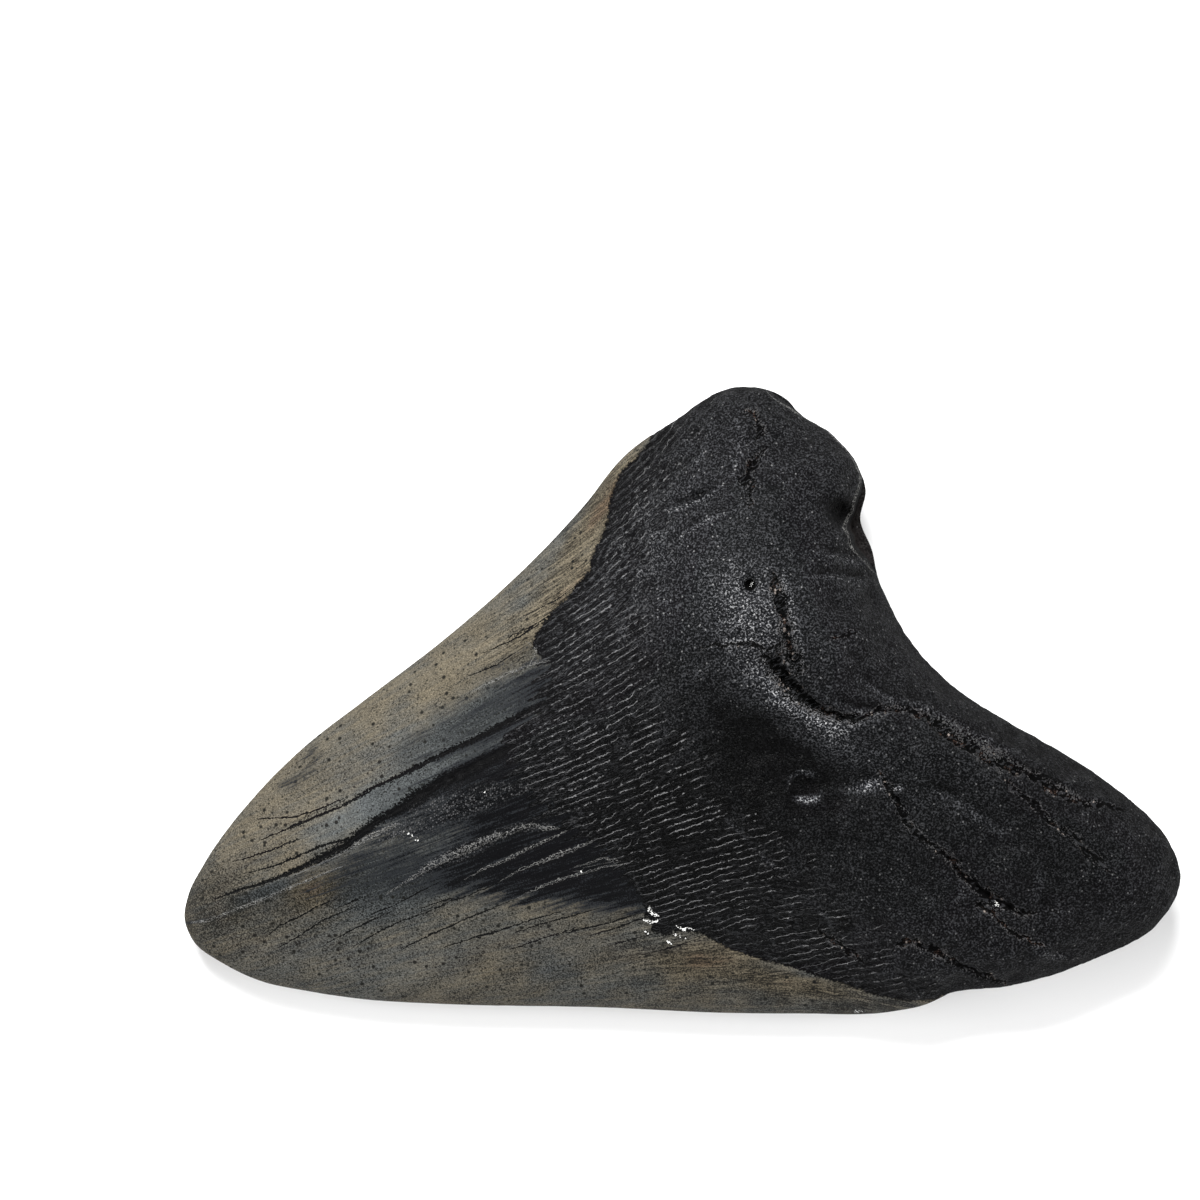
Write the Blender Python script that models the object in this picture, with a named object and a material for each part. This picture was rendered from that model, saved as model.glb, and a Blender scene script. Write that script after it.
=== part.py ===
"""A fossil shark tooth, 147 mm long, lying on its flatter labial face.

One solid: the worn crown points to -X, the black root with its two lobes is at +X,
and the bulging lingual face looks up. The origin is under the middle of the tooth.
"""

import bpy
import bmesh
import numpy as np

MM = 0.001

# Outline of the tooth seen from above, in millimetres, counter-clockwise in four sides.
LOWER_EDGE = [
    (-67.5, -38.9), (-61.5, -41.6), (-55.7, -42.8), (-46.8, -44.1), (-35.0, -44.8),
    (-11.4, -45.3), (6.3, -46.1), (18.1, -46.2), (29.9, -46.0), (35.9, -44.7),
    (39.6, -43.0), (48.2, -41.9), (61.7, -37.5), (69.8, -33.0),
]
BASAL_MARGIN = [
    (73.4, -26.0), (71.2, -19.8), (66.9, -15.3), (61.3, -10.9), (54.2, -6.5),
    (46.4, -2.1), (39.8, 2.4), (33.6, 9.0), (31.0, 13.4), (29.0, 17.8), (28.0, 22.3),
    (26.3, 26.7), (27.1, 31.1), (25.8, 34.9), (22.0, 39.4), (17.3, 42.4), (15.5, 44.4),
]
UPPER_EDGE = [
    (9.2, 46.3), (5.6, 45.6), (0.4, 42.3), (-8.5, 36.1), (-14.4, 28.8), (-23.2, 19.5),
    (-35.0, 9.1), (-46.8, 0.1), (-55.7, -6.8), (-64.5, -15.8),
]
TIP = [(-70.4, -23.9), (-72.9, -28.9), (-73.4, -32.2), (-72.0, -35.6)]

# Crests of the lingual face: x, y and height above the table, in millimetres.
CROWN_CREST = [
    (-67.0, -31.0, 9.4), (-50.0, -24.0, 12.6), (-34.0, -15.5, 16.4), (-15.0, -6.5, 20.3),
    (2.0, 2.0, 23.6), (13.0, 8.0, 27.2),
]
UPPER_LOBE_CREST = [(13.0, 8.0, 27.2), (11.5, 20.0, 24.0), (11.0, 30.0, 20.3), (9.5, 38.0, 16.5)]
LOWER_LOBE_CREST = [
    (13.0, 8.0, 27.2), (20.0, -1.5, 25.6), (30.0, -5.5, 23.6), (46.0, -12.5, 21.0),
    (58.0, -19.5, 18.6), (66.0, -25.5, 15.6),
]

# The line where the crown ends and the root begins, from its upper to its lower end.
NECK_START = (-4.6, 38.5)
NECK_END = (32.2, -43.8)
NECK_BLEND = 9.0

# Heights in millimetres of the sharpest line round the tooth, and of the rounding beside it.
CROWN_EDGE_HEIGHT = 4.4
ROOT_EDGE_HEIGHT = 8.2
CROWN_RIM_RISE = 2.3
ROOT_RIM_RISE = 6.8
CROWN_RIM_WIDTH = 3.4
ROOT_RIM_WIDTH = 8.0
CROWN_UNDERSIDE_WIDTH = 13.0
ROOT_UNDERSIDE_WIDTH = 11.0

# Cracks, grooves and ridges: x, y, half width and depth in millimetres. Less than zero is a ridge.
ROOT_CRACKS = [
    [(9.8, 42.5, 0.7, 0.8), (11.6, 39.7, 0.9, 1.3), (10.4, 35.3, 1.0, 1.4), (9.5, 33.3, 0.9, 1.2),
     (10.0, 28.9, 0.6, 0.4)],
    [(13.3, 17.8, 0.7, 1.0), (13.9, 14.9, 1.0, 1.7), (14.5, 11.9, 1.2, 2.0), (15.3, 6.8, 1.5, 2.2),
     (16.6, 3.6, 1.4, 1.8)],
    [(11.4, 6.8, 0.8, 0.9), (13.6, 4.6, 1.9, 2.6), (16.0, 2.4, 1.9, 2.9), (19.6, -0.6, 1.6, 2.6),
     (24.1, -2.2, 1.2, 2.0), (29.3, -0.9, 1.0, 1.4), (35.2, -1.6, 1.1, 1.5), (41.1, -4.6, 1.9, 2.4),
     (45.6, -7.6, 2.0, 2.4), (49.9, -9.9, 1.4, 1.8), (55.8, -13.4, 1.1, 1.5), (60.2, -14.8, 0.9, 1.0),
     (64.7, -15.6, 0.6, 0.5)],
    [(47.0, -11.7, 0.6, 0.6), (51.4, -14.9, 0.9, 1.1), (53.6, -17.6, 0.9, 1.1), (58.0, -20.6, 0.8, 1.0),
     (62.5, -24.6, 0.6, 0.4)],
    [(28.5, -10.2, 0.7, 0.5), (30.8, -13.9, 1.0, 1.1), (33.0, -18.3, 1.1, 1.3), (38.9, -22.7, 1.1, 1.4),
     (40.3, -24.9, 1.0, 1.3), (44.8, -28.6, 1.1, 1.5), (51.4, -30.8, 0.7, 0.6)],
    [(43.3, -29.4, 0.8, 1.0), (47.7, -33.3, 0.9, 1.3), (52.1, -35.5, 0.6, 0.4)],
    [(31.5, -35.5, 0.9, 1.0), (35.9, -36.2, 1.0, 1.1), (41.1, -38.9, 0.8, 0.8), (47.0, -41.2, 0.6, 0.3)],
    [(20.4, -33.8, 0.8, 0.5), (26.3, -37.9, 0.8, 0.5)],
]
CROWN_GROOVES = [
    [(-23.1, -1.3, 0.8, 0.3), (-34.1, -6.9, 0.9, 0.5), (-48.9, -14.6, 0.7, 0.4), (-61.4, -20.2, 0.5, 0.2)],
    [(-21.0, -7.0, 1.6, 0.5), (-34.1, -11.6, 1.9, 0.8), (-41.5, -15.0, 1.5, 0.8), (-51.1, -21.7, 0.9, 0.5),
     (-68.1, -28.6, 0.6, 0.3)],
    [(-17.2, -18.3, 0.7, -0.4), (-22.3, -18.6, 0.9, -0.5), (-29.7, -21.2, 0.9, -0.5),
     (-42.3, -27.1, 0.6, -0.3)],
    [(-14.2, -20.4, 1.2, 0.6), (-23.8, -23.8, 1.3, 0.6), (-34.1, -27.6, 0.8, 0.3)],
    [(-9.1, -24.6, 1.2, 0.6), (-20.1, -28.3, 1.0, 0.4), (-28.0, -31.0, 0.6, 0.2)],
]

# Swellings and hollows of the lingual face: x, y, two half widths, turn in degrees and height.
SWELLINGS = [
    (15.5, -8.5, 12.0, 7.5, -35.0, -2.6),
    (9.5, 14.0, 7.0, 6.0, 0.0, 0.9),
    (4.0, 30.0, 7.0, 9.0, 0.0, 0.6),
    (37.0, -4.5, 14.0, 5.0, -30.0, 0.8),
    (60.0, -26.0, 9.0, 8.0, 0.0, 1.2),
    (33.5, -36.5, 6.0, 3.0, -25.0, -0.8),
    (9.5, 17.1, 1.0, 1.0, 0.0, -1.6),
    (2.3, 29.9, 1.0, 1.0, 0.0, -0.5),
    (17.5, -12.4, 2.2, 2.0, 0.0, -0.7),
    (27.1, -12.1, 2.2, 1.2, 0.0, -0.8),
    (23.2, 27.8, 2.4, 1.5, -15.0, -3.2),
    (55.4, -36.4, 1.5, 1.1, 0.0, -0.9),
    (44.8, -20.5, 1.4, 1.1, 0.0, -0.6),
]

# The broken basal wall behind the front lip of the upper lobe, and how far it lies below the lip.
BROKEN_LIP = [
    (10.5, 45.9), (16.4, 42.5), (20.0, 39.9), (23.6, 37.1), (26.2, 34.1), (25.4, 29.0),
    (23.4, 25.6), (25.0, 22.8), (28.2, 18.8),
]
BROKEN_DROP = 6.0
BROKEN_WIDTH = 1.6

# Where the enamel stands proud of the bare dentine, along its upper and its lower border.
UPPER_LEDGE = [
    (-4.6, 38.5), (-9.1, 32.6), (-10.8, 26.7), (-13.5, 19.3), (-17.9, 14.6), (-22.3, 8.3),
]
LOWER_LEDGE = [
    (-6.1, -34.5), (-3.9, -33.0), (2.7, -33.8), (7.2, -36.4), (17.5, -39.4), (27.8, -42.9),
    (38.1, -42.9),
]
LEDGE_HEIGHT = 0.45
LEDGE_REACH = 7.0

# The labial face: root hollow between the lobes and the arched border of its enamel.
ROOT_HOLLOW = (27.0, 8.0, 12.0, 14.0, -30.0, 3.0)
LABIAL_BORDER = [
    (-3.0, 40.0), (-2.5, 33.0), (0.0, 22.0), (3.0, 11.0), (5.5, 1.0), (9.0, -9.5), (14.5, -19.5),
    (21.5, -29.0), (29.0, -37.0), (36.5, -44.0),
]
LABIAL_STEP = 0.6
LABIAL_FADE = 16.0

# Low lumps of the root: waves as direction in degrees, length and height in millimetres.
ROOT_LUMPS = [(20.0, 17.0, 0.22), (75.0, 13.0, 0.20), (130.0, 10.5, 0.16), (165.0, 8.0, 0.12)]

SPLINE_STEPS = 12
GRID_LENGTHWISE = 150
GRID_CROSSWISE = 110
GRID_EDGE_CROWDING = 0.55
TRIANGLE_BUDGET = 9400
WELD_DISTANCE = 0.000001
LEVEL_WITHIN = 0.00001

TOOTH_COLOUR = (0.045, 0.043, 0.041, 1.0)
TOOTH_ROUGHNESS = 0.55


def clear_scene():
    for item in list(bpy.data.objects):
        bpy.data.objects.remove(item, do_unlink=True)


def smooth_step(value):
    """Rise from 0 to 1 with level ends, as value goes from 0 to 1."""
    value = np.clip(value, 0.0, 1.0)
    return value * value * (3.0 - 2.0 * value)


def quarter_round(value):
    """Height of a quarter circle of radius 1, at a distance in from its foot."""
    inward = np.clip(value, 0.0, 1.0)
    return np.sqrt(1.0 - (1.0 - inward) ** 2)


def closed_spline(points, steps):
    """Smooth closed curve through the points, with a tangent weighted by the chords."""
    points = np.array(points)
    after = np.roll(points, -1, axis=0)
    chord = np.linalg.norm(after - points, axis=1)[:, None]
    slope = (after - points) / chord
    chord_before = np.roll(chord, 1, axis=0)
    slope_before = np.roll(slope, 1, axis=0)
    tangent = (slope * chord_before + slope_before * chord) / (chord + chord_before)
    tangent_after = np.roll(tangent, -1, axis=0)
    t = (np.arange(steps) / steps)[None, :, None]
    start = points[:, None, :] * (2 * t ** 3 - 3 * t ** 2 + 1)
    end = after[:, None, :] * (3 * t ** 2 - 2 * t ** 3)
    leave = (tangent * chord)[:, None, :] * (t ** 3 - 2 * t ** 2 + t)
    arrive = (tangent_after * chord)[:, None, :] * (t ** 3 - t ** 2)
    return (start + end + leave + arrive).reshape(-1, 2)


def along(side, share):
    """Points at the given shares of a side's length."""
    length = np.concatenate([[0.0], np.cumsum(np.linalg.norm(np.diff(side, axis=0), axis=1))])
    wanted = share * length[-1]
    return np.stack([np.interp(wanted, length, side[:, 0]), np.interp(wanted, length, side[:, 1])], axis=-1)


def outline_sides():
    """The closed outline, and its four sides as fine polylines."""
    sides = [LOWER_EDGE, BASAL_MARGIN, UPPER_EDGE, TIP]
    loop = closed_spline(sum(sides, []), SPLINE_STEPS)
    ring = np.vstack([loop, loop[:1]])
    cut = np.cumsum([0] + [len(side) for side in sides]) * SPLINE_STEPS
    return ring, [ring[cut[k]:cut[k + 1] + 1] for k in range(4)]


def fill_outline(u, v, sides):
    """Places inside the outline: u runs from tip to root, v from lower to upper edge."""
    lower = along(sides[0], u)
    root = along(sides[1], v)
    upper = along(sides[2], 1.0 - u)
    tip = along(sides[3], 1.0 - v)
    u = u[:, None]
    v = v[:, None]
    between_edges = lower * (1 - v) + upper * v
    between_ends = tip * (1 - u) + root * u
    lower_corners = sides[0][0] * (1 - u) + sides[0][-1] * u
    upper_corners = sides[2][-1] * (1 - u) + sides[2][0] * u
    return between_edges + between_ends - lower_corners * (1 - v) - upper_corners * v


def nearest_on(line, x, y):
    """Distance to a polyline, with the value of its further columns at the nearest point."""
    line = np.array(line, dtype=float)
    best = np.full(x.shape, 1.0e9)
    values = np.zeros(x.shape + (line.shape[1] - 2,))
    for start, end in zip(line[:-1], line[1:]):
        run = end[:2] - start[:2]
        share = ((x - start[0]) * run[0] + (y - start[1]) * run[1]) / (run @ run)
        share = np.clip(share, 0.0, 1.0)
        gap = np.hypot(x - start[0] - share * run[0], y - start[1] - share * run[1])
        closer = gap < best
        best = np.where(closer, gap, best)
        here = start[2:] + share[..., None] * (end[2:] - start[2:])
        values = np.where(closer[..., None], here, values)
    return best, values


def side_of(line, x, y):
    """Signed distance to a polyline, greater than zero on its left."""
    line = np.array(line)
    gap, _ = nearest_on(line, x, y)
    sign = np.zeros(x.shape)
    best = np.full(x.shape, 1.0e9)
    for start, end in zip(line[:-1], line[1:]):
        run = end - start
        middle = (start + end) / 2
        away = np.hypot(x - middle[0], y - middle[1]) - np.hypot(*run) / 2
        turn = run[0] * (y - start[1]) - run[1] * (x - start[0])
        sign = np.where(away < best, np.sign(turn), sign)
        best = np.minimum(best, away)
    return gap * sign


def crest_field(x, y):
    """Height of the nearby crests, and the distance to them, both without a jump."""
    weight_sum = np.zeros(x.shape)
    height_sum = np.zeros(x.shape)
    nearest = np.full(x.shape, 1.0e9)
    for crest in (CROWN_CREST, UPPER_LOBE_CREST, LOWER_LOBE_CREST):
        gap, height = nearest_on(crest, x, y)
        weight = 1.0 / (gap + 1.0) ** 4
        weight_sum += weight
        height_sum += weight * height[..., 0]
        nearest = np.minimum(nearest, gap)
    return height_sum / weight_sum, nearest


def swelling(spec, x, y):
    """A smooth oval mound, or a hollow where its height is less than zero."""
    centre_x, centre_y, half_long, half_short, turn, height = spec
    angle = np.radians(turn)
    lengthwise = (x - centre_x) * np.cos(angle) + (y - centre_y) * np.sin(angle)
    crosswise = (y - centre_y) * np.cos(angle) - (x - centre_x) * np.sin(angle)
    return height * np.exp(-(lengthwise / half_long) ** 2 - (crosswise / half_short) ** 2)


def furrow(line, x, y):
    """Depth of a groove whose half width and depth change along its line."""
    gap, values = nearest_on(line, x, y)
    return values[..., 1] * np.exp(-(gap / values[..., 0]) ** 2)


def ledge(line, x, y, height, reach):
    """A step that stands up on the line's left and fades out over its reach."""
    side = side_of(line, x, y)
    step = smooth_step(side / 1.2 + 0.5)
    return height * step * np.exp(-(np.abs(side) / reach) ** 2)


def root_share(x, y):
    """0 on the crown, 1 on the root."""
    start = np.array(NECK_START)
    run = np.array(NECK_END) - start
    run /= np.hypot(*run)
    past = -(x - start[0]) * run[1] + (y - start[1]) * run[0]
    return smooth_step(past / (2 * NECK_BLEND) + 0.5)


def lumps(x, y):
    """Low irregular waves."""
    total = np.zeros(x.shape)
    for turn, length, height in ROOT_LUMPS:
        angle = np.radians(turn)
        total += height * np.sin(2 * np.pi * (x * np.cos(angle) + y * np.sin(angle)) / length)
    return total


def edge_height(root):
    return CROWN_EDGE_HEIGHT + (ROOT_EDGE_HEIGHT - CROWN_EDGE_HEIGHT) * root


def lingual_height(x, y, inset):
    """Height of the upper face, from the distance in from the outline."""
    root = root_share(x, y)
    edge = edge_height(root)
    crest, gap = crest_field(x, y)
    rim_rise = CROWN_RIM_RISE + (ROOT_RIM_RISE - CROWN_RIM_RISE) * root
    rim_width = CROWN_RIM_WIDTH + (ROOT_RIM_WIDTH - CROWN_RIM_WIDTH) * root
    rise = rim_rise * quarter_round(inset / rim_width)
    share = inset / (inset + gap + 0.001)
    roof = 1.0 - (1.0 - share) ** 1.7
    height = edge + rise + (crest - edge - rim_rise) * roof
    detail = lumps(x, y) * root
    for spec in SWELLINGS:
        detail += swelling(spec, x, y)
    for line in ROOT_CRACKS + CROWN_GROOVES:
        detail -= furrow(line, x, y)
    detail -= ledge(UPPER_LEDGE, x, y, LEDGE_HEIGHT, LEDGE_REACH)
    detail -= ledge(LOWER_LEDGE, x, y, LEDGE_HEIGHT, LEDGE_REACH)
    lip_side = side_of(BROKEN_LIP, x, y)
    near_lip = np.exp(-(nearest_on(BROKEN_LIP, x, y)[0] / 5.0) ** 2)
    detail -= BROKEN_DROP * smooth_step(lip_side / BROKEN_WIDTH) * near_lip
    return np.maximum(height + detail * smooth_step(inset / 2.0), edge)


def labial_height(x, y, inset):
    """Height of the lower face: level where it rests, rising to the outline."""
    root = root_share(x, y)
    edge = edge_height(root)
    width = CROWN_UNDERSIDE_WIDTH + (ROOT_UNDERSIDE_WIDTH - CROWN_UNDERSIDE_WIDTH) * root
    rim = quarter_round(inset / (2.0 + 7.0 * root))
    slope = 1.0 - (1.0 - np.clip(inset / width, 0.0, 1.0)) ** 2
    rim_part = 0.4 + 0.35 * root
    height = edge * (1.0 - rim_part * rim - (1.0 - rim_part) * slope)
    border = side_of(LABIAL_BORDER, x, y)
    recess = LABIAL_STEP * smooth_step(border / 1.5 + 0.5) * np.exp(-(border / LABIAL_FADE) ** 2)
    hollow = swelling(ROOT_HOLLOW, x, y)
    return np.maximum(height + (recess + hollow) * smooth_step(inset / 4.0), 0.0)


def crowd(count):
    """Shares from 0 to 1, closer together at both ends."""
    even = np.arange(count + 1) / count
    eased = 0.5 - 0.5 * np.cos(np.pi * even)
    return even * (1 - GRID_EDGE_CROWDING) + eased * GRID_EDGE_CROWDING


def add_face(shape, ring, sides, height_of, turned_over):
    """Add one face of the tooth: a grid laid over the outline and raised."""
    grid = bmesh.ops.create_grid(shape, x_segments=GRID_LENGTHWISE, y_segments=GRID_CROSSWISE, size=1.0)
    corners = grid["verts"]
    flat = np.array([vert.co[:2] for vert in corners]) * 0.5 + 0.5
    column = np.rint(flat[:, 0] * GRID_LENGTHWISE).astype(int)
    row = np.rint(flat[:, 1] * GRID_CROSSWISE).astype(int)
    place = fill_outline(crowd(GRID_LENGTHWISE)[column], crowd(GRID_CROSSWISE)[row], sides)
    inset, _ = nearest_on(ring, place[:, 0], place[:, 1])
    on_rim = (column % GRID_LENGTHWISE == 0) | (row % GRID_CROSSWISE == 0)
    inset = np.where(on_rim, 0.0, inset)
    height = height_of(place[:, 0], place[:, 1], inset)
    for vert, spot, lift in zip(corners, place, height):
        vert.co = (spot[0] * MM, spot[1] * MM, lift * MM)
    if turned_over:
        faces = {face for vert in corners for face in vert.link_faces}
        bmesh.ops.reverse_faces(shape, faces=list(faces))


def make_material():
    material = bpy.data.materials.new("fossil enamel and root")
    material.use_nodes = True
    shader = material.node_tree.nodes["Principled BSDF"]
    shader.inputs["Base Color"].default_value = TOOTH_COLOUR
    shader.inputs["Roughness"].default_value = TOOTH_ROUGHNESS
    shader.inputs["Metallic"].default_value = 0.0
    return material


def level_underside(tooth):
    """Apply the modifiers, and put the points that it rests on exactly on the table."""
    state = bpy.context.evaluated_depsgraph_get()
    mesh = bpy.data.meshes.new_from_object(tooth.evaluated_get(state))
    tooth.modifiers.clear()
    tooth.data = mesh
    for vert in mesh.vertices:
        if abs(vert.co.z) < LEVEL_WITHIN:
            vert.co.z = 0.0


def make_tooth(collection):
    ring, sides = outline_sides()
    shape = bmesh.new()
    add_face(shape, ring, sides, lingual_height, False)
    add_face(shape, ring, sides, labial_height, True)
    bmesh.ops.remove_doubles(shape, verts=shape.verts, dist=WELD_DISTANCE)
    bmesh.ops.triangulate(shape, faces=shape.faces)
    triangles = len(shape.faces)
    mesh = bpy.data.meshes.new("tooth")
    shape.to_mesh(mesh)
    shape.free()
    mesh.materials.append(make_material())
    mesh.shade_smooth()
    tooth = bpy.data.objects.new("tooth", mesh)
    collection.objects.link(tooth)
    fewer = tooth.modifiers.new("fewer faces", "DECIMATE")
    fewer.ratio = TRIANGLE_BUDGET / triangles
    level_underside(tooth)
    return tooth


def main():
    clear_scene()
    collection = bpy.data.collections.new("megalodon tooth")
    bpy.context.scene.collection.children.link(collection)
    make_tooth(collection)


main()
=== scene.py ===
import bpy
import numpy as np
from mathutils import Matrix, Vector


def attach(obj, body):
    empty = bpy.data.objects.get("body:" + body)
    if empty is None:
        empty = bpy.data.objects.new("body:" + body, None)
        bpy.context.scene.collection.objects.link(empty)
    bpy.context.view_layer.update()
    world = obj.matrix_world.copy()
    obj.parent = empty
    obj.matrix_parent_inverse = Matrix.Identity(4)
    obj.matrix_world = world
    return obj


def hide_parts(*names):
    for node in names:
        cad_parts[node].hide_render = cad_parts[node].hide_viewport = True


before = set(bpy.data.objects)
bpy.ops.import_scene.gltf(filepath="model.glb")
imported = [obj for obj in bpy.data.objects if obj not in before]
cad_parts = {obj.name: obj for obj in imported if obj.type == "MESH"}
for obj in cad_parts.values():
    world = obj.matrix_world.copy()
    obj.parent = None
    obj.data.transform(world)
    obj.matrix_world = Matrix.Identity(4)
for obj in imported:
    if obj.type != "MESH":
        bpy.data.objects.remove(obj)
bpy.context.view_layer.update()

mm = 0.001    # the lists below are in millimetres
farOff = 1.0e9
leastFurrow = 0.05    # half width of the thinnest furrow, and of the thinnest line
leastLine = 0.02

# four sides, counter-clockwise from above, each starting at a corner of the grid
outline = {
    "lowerEdge": [(-67.5, -38.9), (-61.5, -41.6), (-55.7, -42.8), (-46.8, -44.1), (-35.0, -44.8),
                  (-11.4, -45.3), (6.3, -46.1), (18.1, -46.2), (29.9, -46.0), (35.9, -44.7),
                  (39.6, -43.0), (48.2, -41.9), (61.7, -37.5), (69.8, -33.0)],
    "basalMargin": [(73.4, -26.0), (71.2, -19.8), (66.9, -15.3), (61.3, -10.9), (54.2, -6.5),
                    (46.4, -2.1), (39.8, 2.4), (33.6, 9.0), (31.0, 13.4), (29.0, 17.8), (28.0, 22.3),
                    (26.3, 26.7), (27.1, 31.1), (25.8, 34.9), (22.0, 39.4), (17.3, 42.4), (15.5, 44.4)],
    "upperEdge": [(9.2, 46.3), (5.6, 45.6), (0.4, 42.3), (-8.5, 36.1), (-14.4, 28.8), (-23.2, 19.5),
                  (-35.0, 9.1), (-46.8, 0.1), (-55.7, -6.8), (-64.5, -15.8)],
    "tip": [(-70.4, -23.9), (-72.9, -28.9), (-73.4, -32.2), (-72.0, -35.6)],
    "steps": 9,
}

# crests of the lingual face, x, y and height
crests = {
    "crown": [(-67.0, -31.0, 9.4), (-50.0, -24.0, 12.6), (-34.0, -15.5, 16.4), (-15.0, -6.5, 20.3),
              (2.0, 2.0, 23.6), (13.0, 8.0, 27.2)],
    "upperLobe": [(13.0, 8.0, 27.2), (11.5, 20.0, 24.0), (11.0, 30.0, 20.3), (9.5, 38.0, 16.5)],
    "lowerLobe": [(13.0, 8.0, 27.2), (20.0, -1.5, 25.6), (30.0, -5.5, 23.6), (46.0, -12.5, 21.0),
                  (58.0, -19.5, 18.6), (66.0, -25.5, 15.6)],
}

# edge heights and rounding, crown first and root second
body = {
    "neck": ((-4.6, 38.5), (32.2, -43.8)), "neckBlend": 9.0,
    "edgeHeight": (4.4, 8.2), "rimRise": (2.3, 6.8), "rimWidth": (3.4, 8.0),
    "undersideWidth": (13.0, 11.0), "labialRim": (2.0, 9.0), "labialRimShare": (0.4, 0.75),
    "roofPower": 1.7, "lumpFade": 2.0,
    "hollow": (27.0, 8.0, 12.0, 14.0, -30.0, 3.0),
    "labialBorder": [(-3.0, 40.0), (-2.5, 33.0), (0.0, 22.0), (3.0, 11.0), (5.5, 1.0), (9.0, -9.5),
                     (14.5, -19.5), (21.5, -29.0), (29.0, -37.0), (36.5, -44.0)],
    "labialStep": 0.6, "labialStepWidth": 1.5, "labialFade": 16.0, "hollowFade": 4.0,
    "lumps": [(20.0, 17.0, 0.22), (75.0, 13.0, 0.20), (130.0, 10.5, 0.16), (165.0, 8.0, 0.12)],
}

# swellings and hollows of the lingual face: x, y, half widths, turn in degrees, height
swellings = [
    (15.5, -8.5, 12.0, 7.5, -35.0, -2.6),
    (9.5, 14.0, 7.0, 6.0, 0.0, 0.9), (4.0, 30.0, 7.0, 9.0, 0.0, 0.6), (37.0, -4.5, 14.0, 5.0, -30.0, 0.8),
    (60.0, -26.0, 9.0, 8.0, 0.0, 1.2), (33.5, -36.5, 6.0, 3.0, -25.0, -0.8),
    (17.5, -12.4, 2.0, 1.8, 0.0, -0.9), (27.1, -12.1, 2.2, 1.2, 0.0, -0.9),
    (23.2, 27.8, 2.2, 1.3, -15.0, -3.2), (55.4, -36.4, 1.1, 0.8, 0.0, -0.8),
    (44.8, -20.5, 1.1, 0.8, 0.0, -0.5), (48.5, -16.4, 0.8, 0.6, 0.0, -0.4),
    (-4.6, 5.3, 1.0, 0.6, 20.0, -0.4), (31.5, -30.1, 0.9, 0.7, 0.0, -0.5),
    (31.2, -12.0, 0.9, 0.6, 0.0, -0.5), (30.9, -14.4, 1.1, 0.5, -20.0, -0.5),
    (2.3, 29.9, 1.4, 0.6, 20.0, -0.5),
    (9.6, 17.1, 0.85, 0.85, 0.0, -2.4),     # foramen
]

# paths across the root: x, y, half width and depth
rootCracks = [
    [(9.2, 42.3, 0.35, 0.5), (10.4, 42.5, 0.55, 0.9), (11.1, 41.2, 0.5, 0.9), (11.7, 39.7, 0.5, 1.0),
     (11.1, 38.2, 0.35, 0.5)],
    [(12.3, 37.0, 0.3, 0.4), (11.1, 35.8, 0.45, 0.8), (10.1, 34.8, 0.6, 1.1), (9.5, 33.3, 0.6, 1.1),
     (8.6, 32.0, 0.4, 0.5)],
    [(10.1, 32.3, 0.45, 0.6), (9.8, 30.8, 0.45, 0.6), (9.7, 28.9, 0.35, 0.35)],
    [(13.1, 18.6, 0.4, 0.6), (13.5, 16.7, 0.8, 1.5), (14.2, 14.2, 0.9, 1.7), (14.8, 11.7, 0.9, 1.7),
     (15.3, 9.0, 1.0, 1.9), (15.7, 6.8, 1.2, 2.0), (16.7, 4.9, 0.9, 1.4)],
    [(11.7, 6.3, 0.6, 0.8), (13.1, 5.5, 1.3, 2.0), (13.9, 3.7, 1.5, 2.6), (15.4, 1.9, 1.4, 2.6),
     (17.5, 0.1, 1.1, 2.4), (19.7, -1.0, 0.9, 2.0), (22.2, -1.9, 0.8, 1.7), (24.6, -2.2, 0.6, 1.4),
     (26.6, -1.8, 0.5, 1.1), (28.7, -0.9, 0.6, 1.1), (30.8, -0.7, 0.5, 1.1), (33.0, -1.0, 0.5, 1.0),
     (35.5, -1.8, 0.6, 1.2), (37.8, -3.1, 1.0, 1.8), (39.9, -4.4, 1.2, 2.2), (41.8, -5.5, 1.2, 2.2),
     (44.0, -6.9, 1.2, 2.0), (47.0, -8.7, 1.0, 1.8), (49.9, -9.9, 0.7, 1.3), (52.9, -11.4, 0.7, 1.2),
     (55.8, -13.4, 0.7, 1.2), (58.8, -14.6, 0.5, 0.9), (61.7, -15.0, 0.4, 0.6), (64.7, -15.6, 0.25, 0.3)],
    [(47.0, -11.7, 0.35, 0.4), (51.4, -14.9, 0.5, 0.9), (53.6, -17.6, 0.5, 0.9), (56.6, -19.3, 0.5, 0.8),
     (61.0, -23.5, 0.4, 0.7), (62.5, -24.6, 0.3, 0.3)],
    [(28.5, -10.2, 0.4, 0.4), (30.8, -13.9, 0.5, 0.8), (33.0, -18.3, 0.6, 1.0), (35.9, -20.5, 0.5, 0.9),
     (38.9, -22.7, 0.6, 1.1), (40.3, -24.9, 0.6, 1.2), (44.8, -28.6, 0.7, 1.3), (49.2, -30.8, 0.5, 0.9),
     (51.4, -30.8, 0.3, 0.4)],
    [(43.3, -29.4, 0.4, 0.8), (47.7, -33.3, 0.5, 1.0), (52.1, -35.5, 0.3, 0.4)],
    [(31.5, -35.5, 0.4, 0.6), (33.0, -35.0, 0.5, 0.8), (35.9, -36.0, 0.6, 0.9), (41.1, -38.9, 0.4, 0.7),
     (47.0, -41.2, 0.3, 0.3)],
    [(20.4, -33.8, 0.4, 0.35), (26.3, -37.9, 0.4, 0.35)],
    [(2.7, 8.3, 0.2, 0.15), (8.3, 8.6, 0.28, 0.25), (13.8, 7.9, 0.3, 0.35)],
    [(21.2, 9.4, 0.35, 0.25), (24.9, 10.0, 0.35, 0.25)],
]

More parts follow.
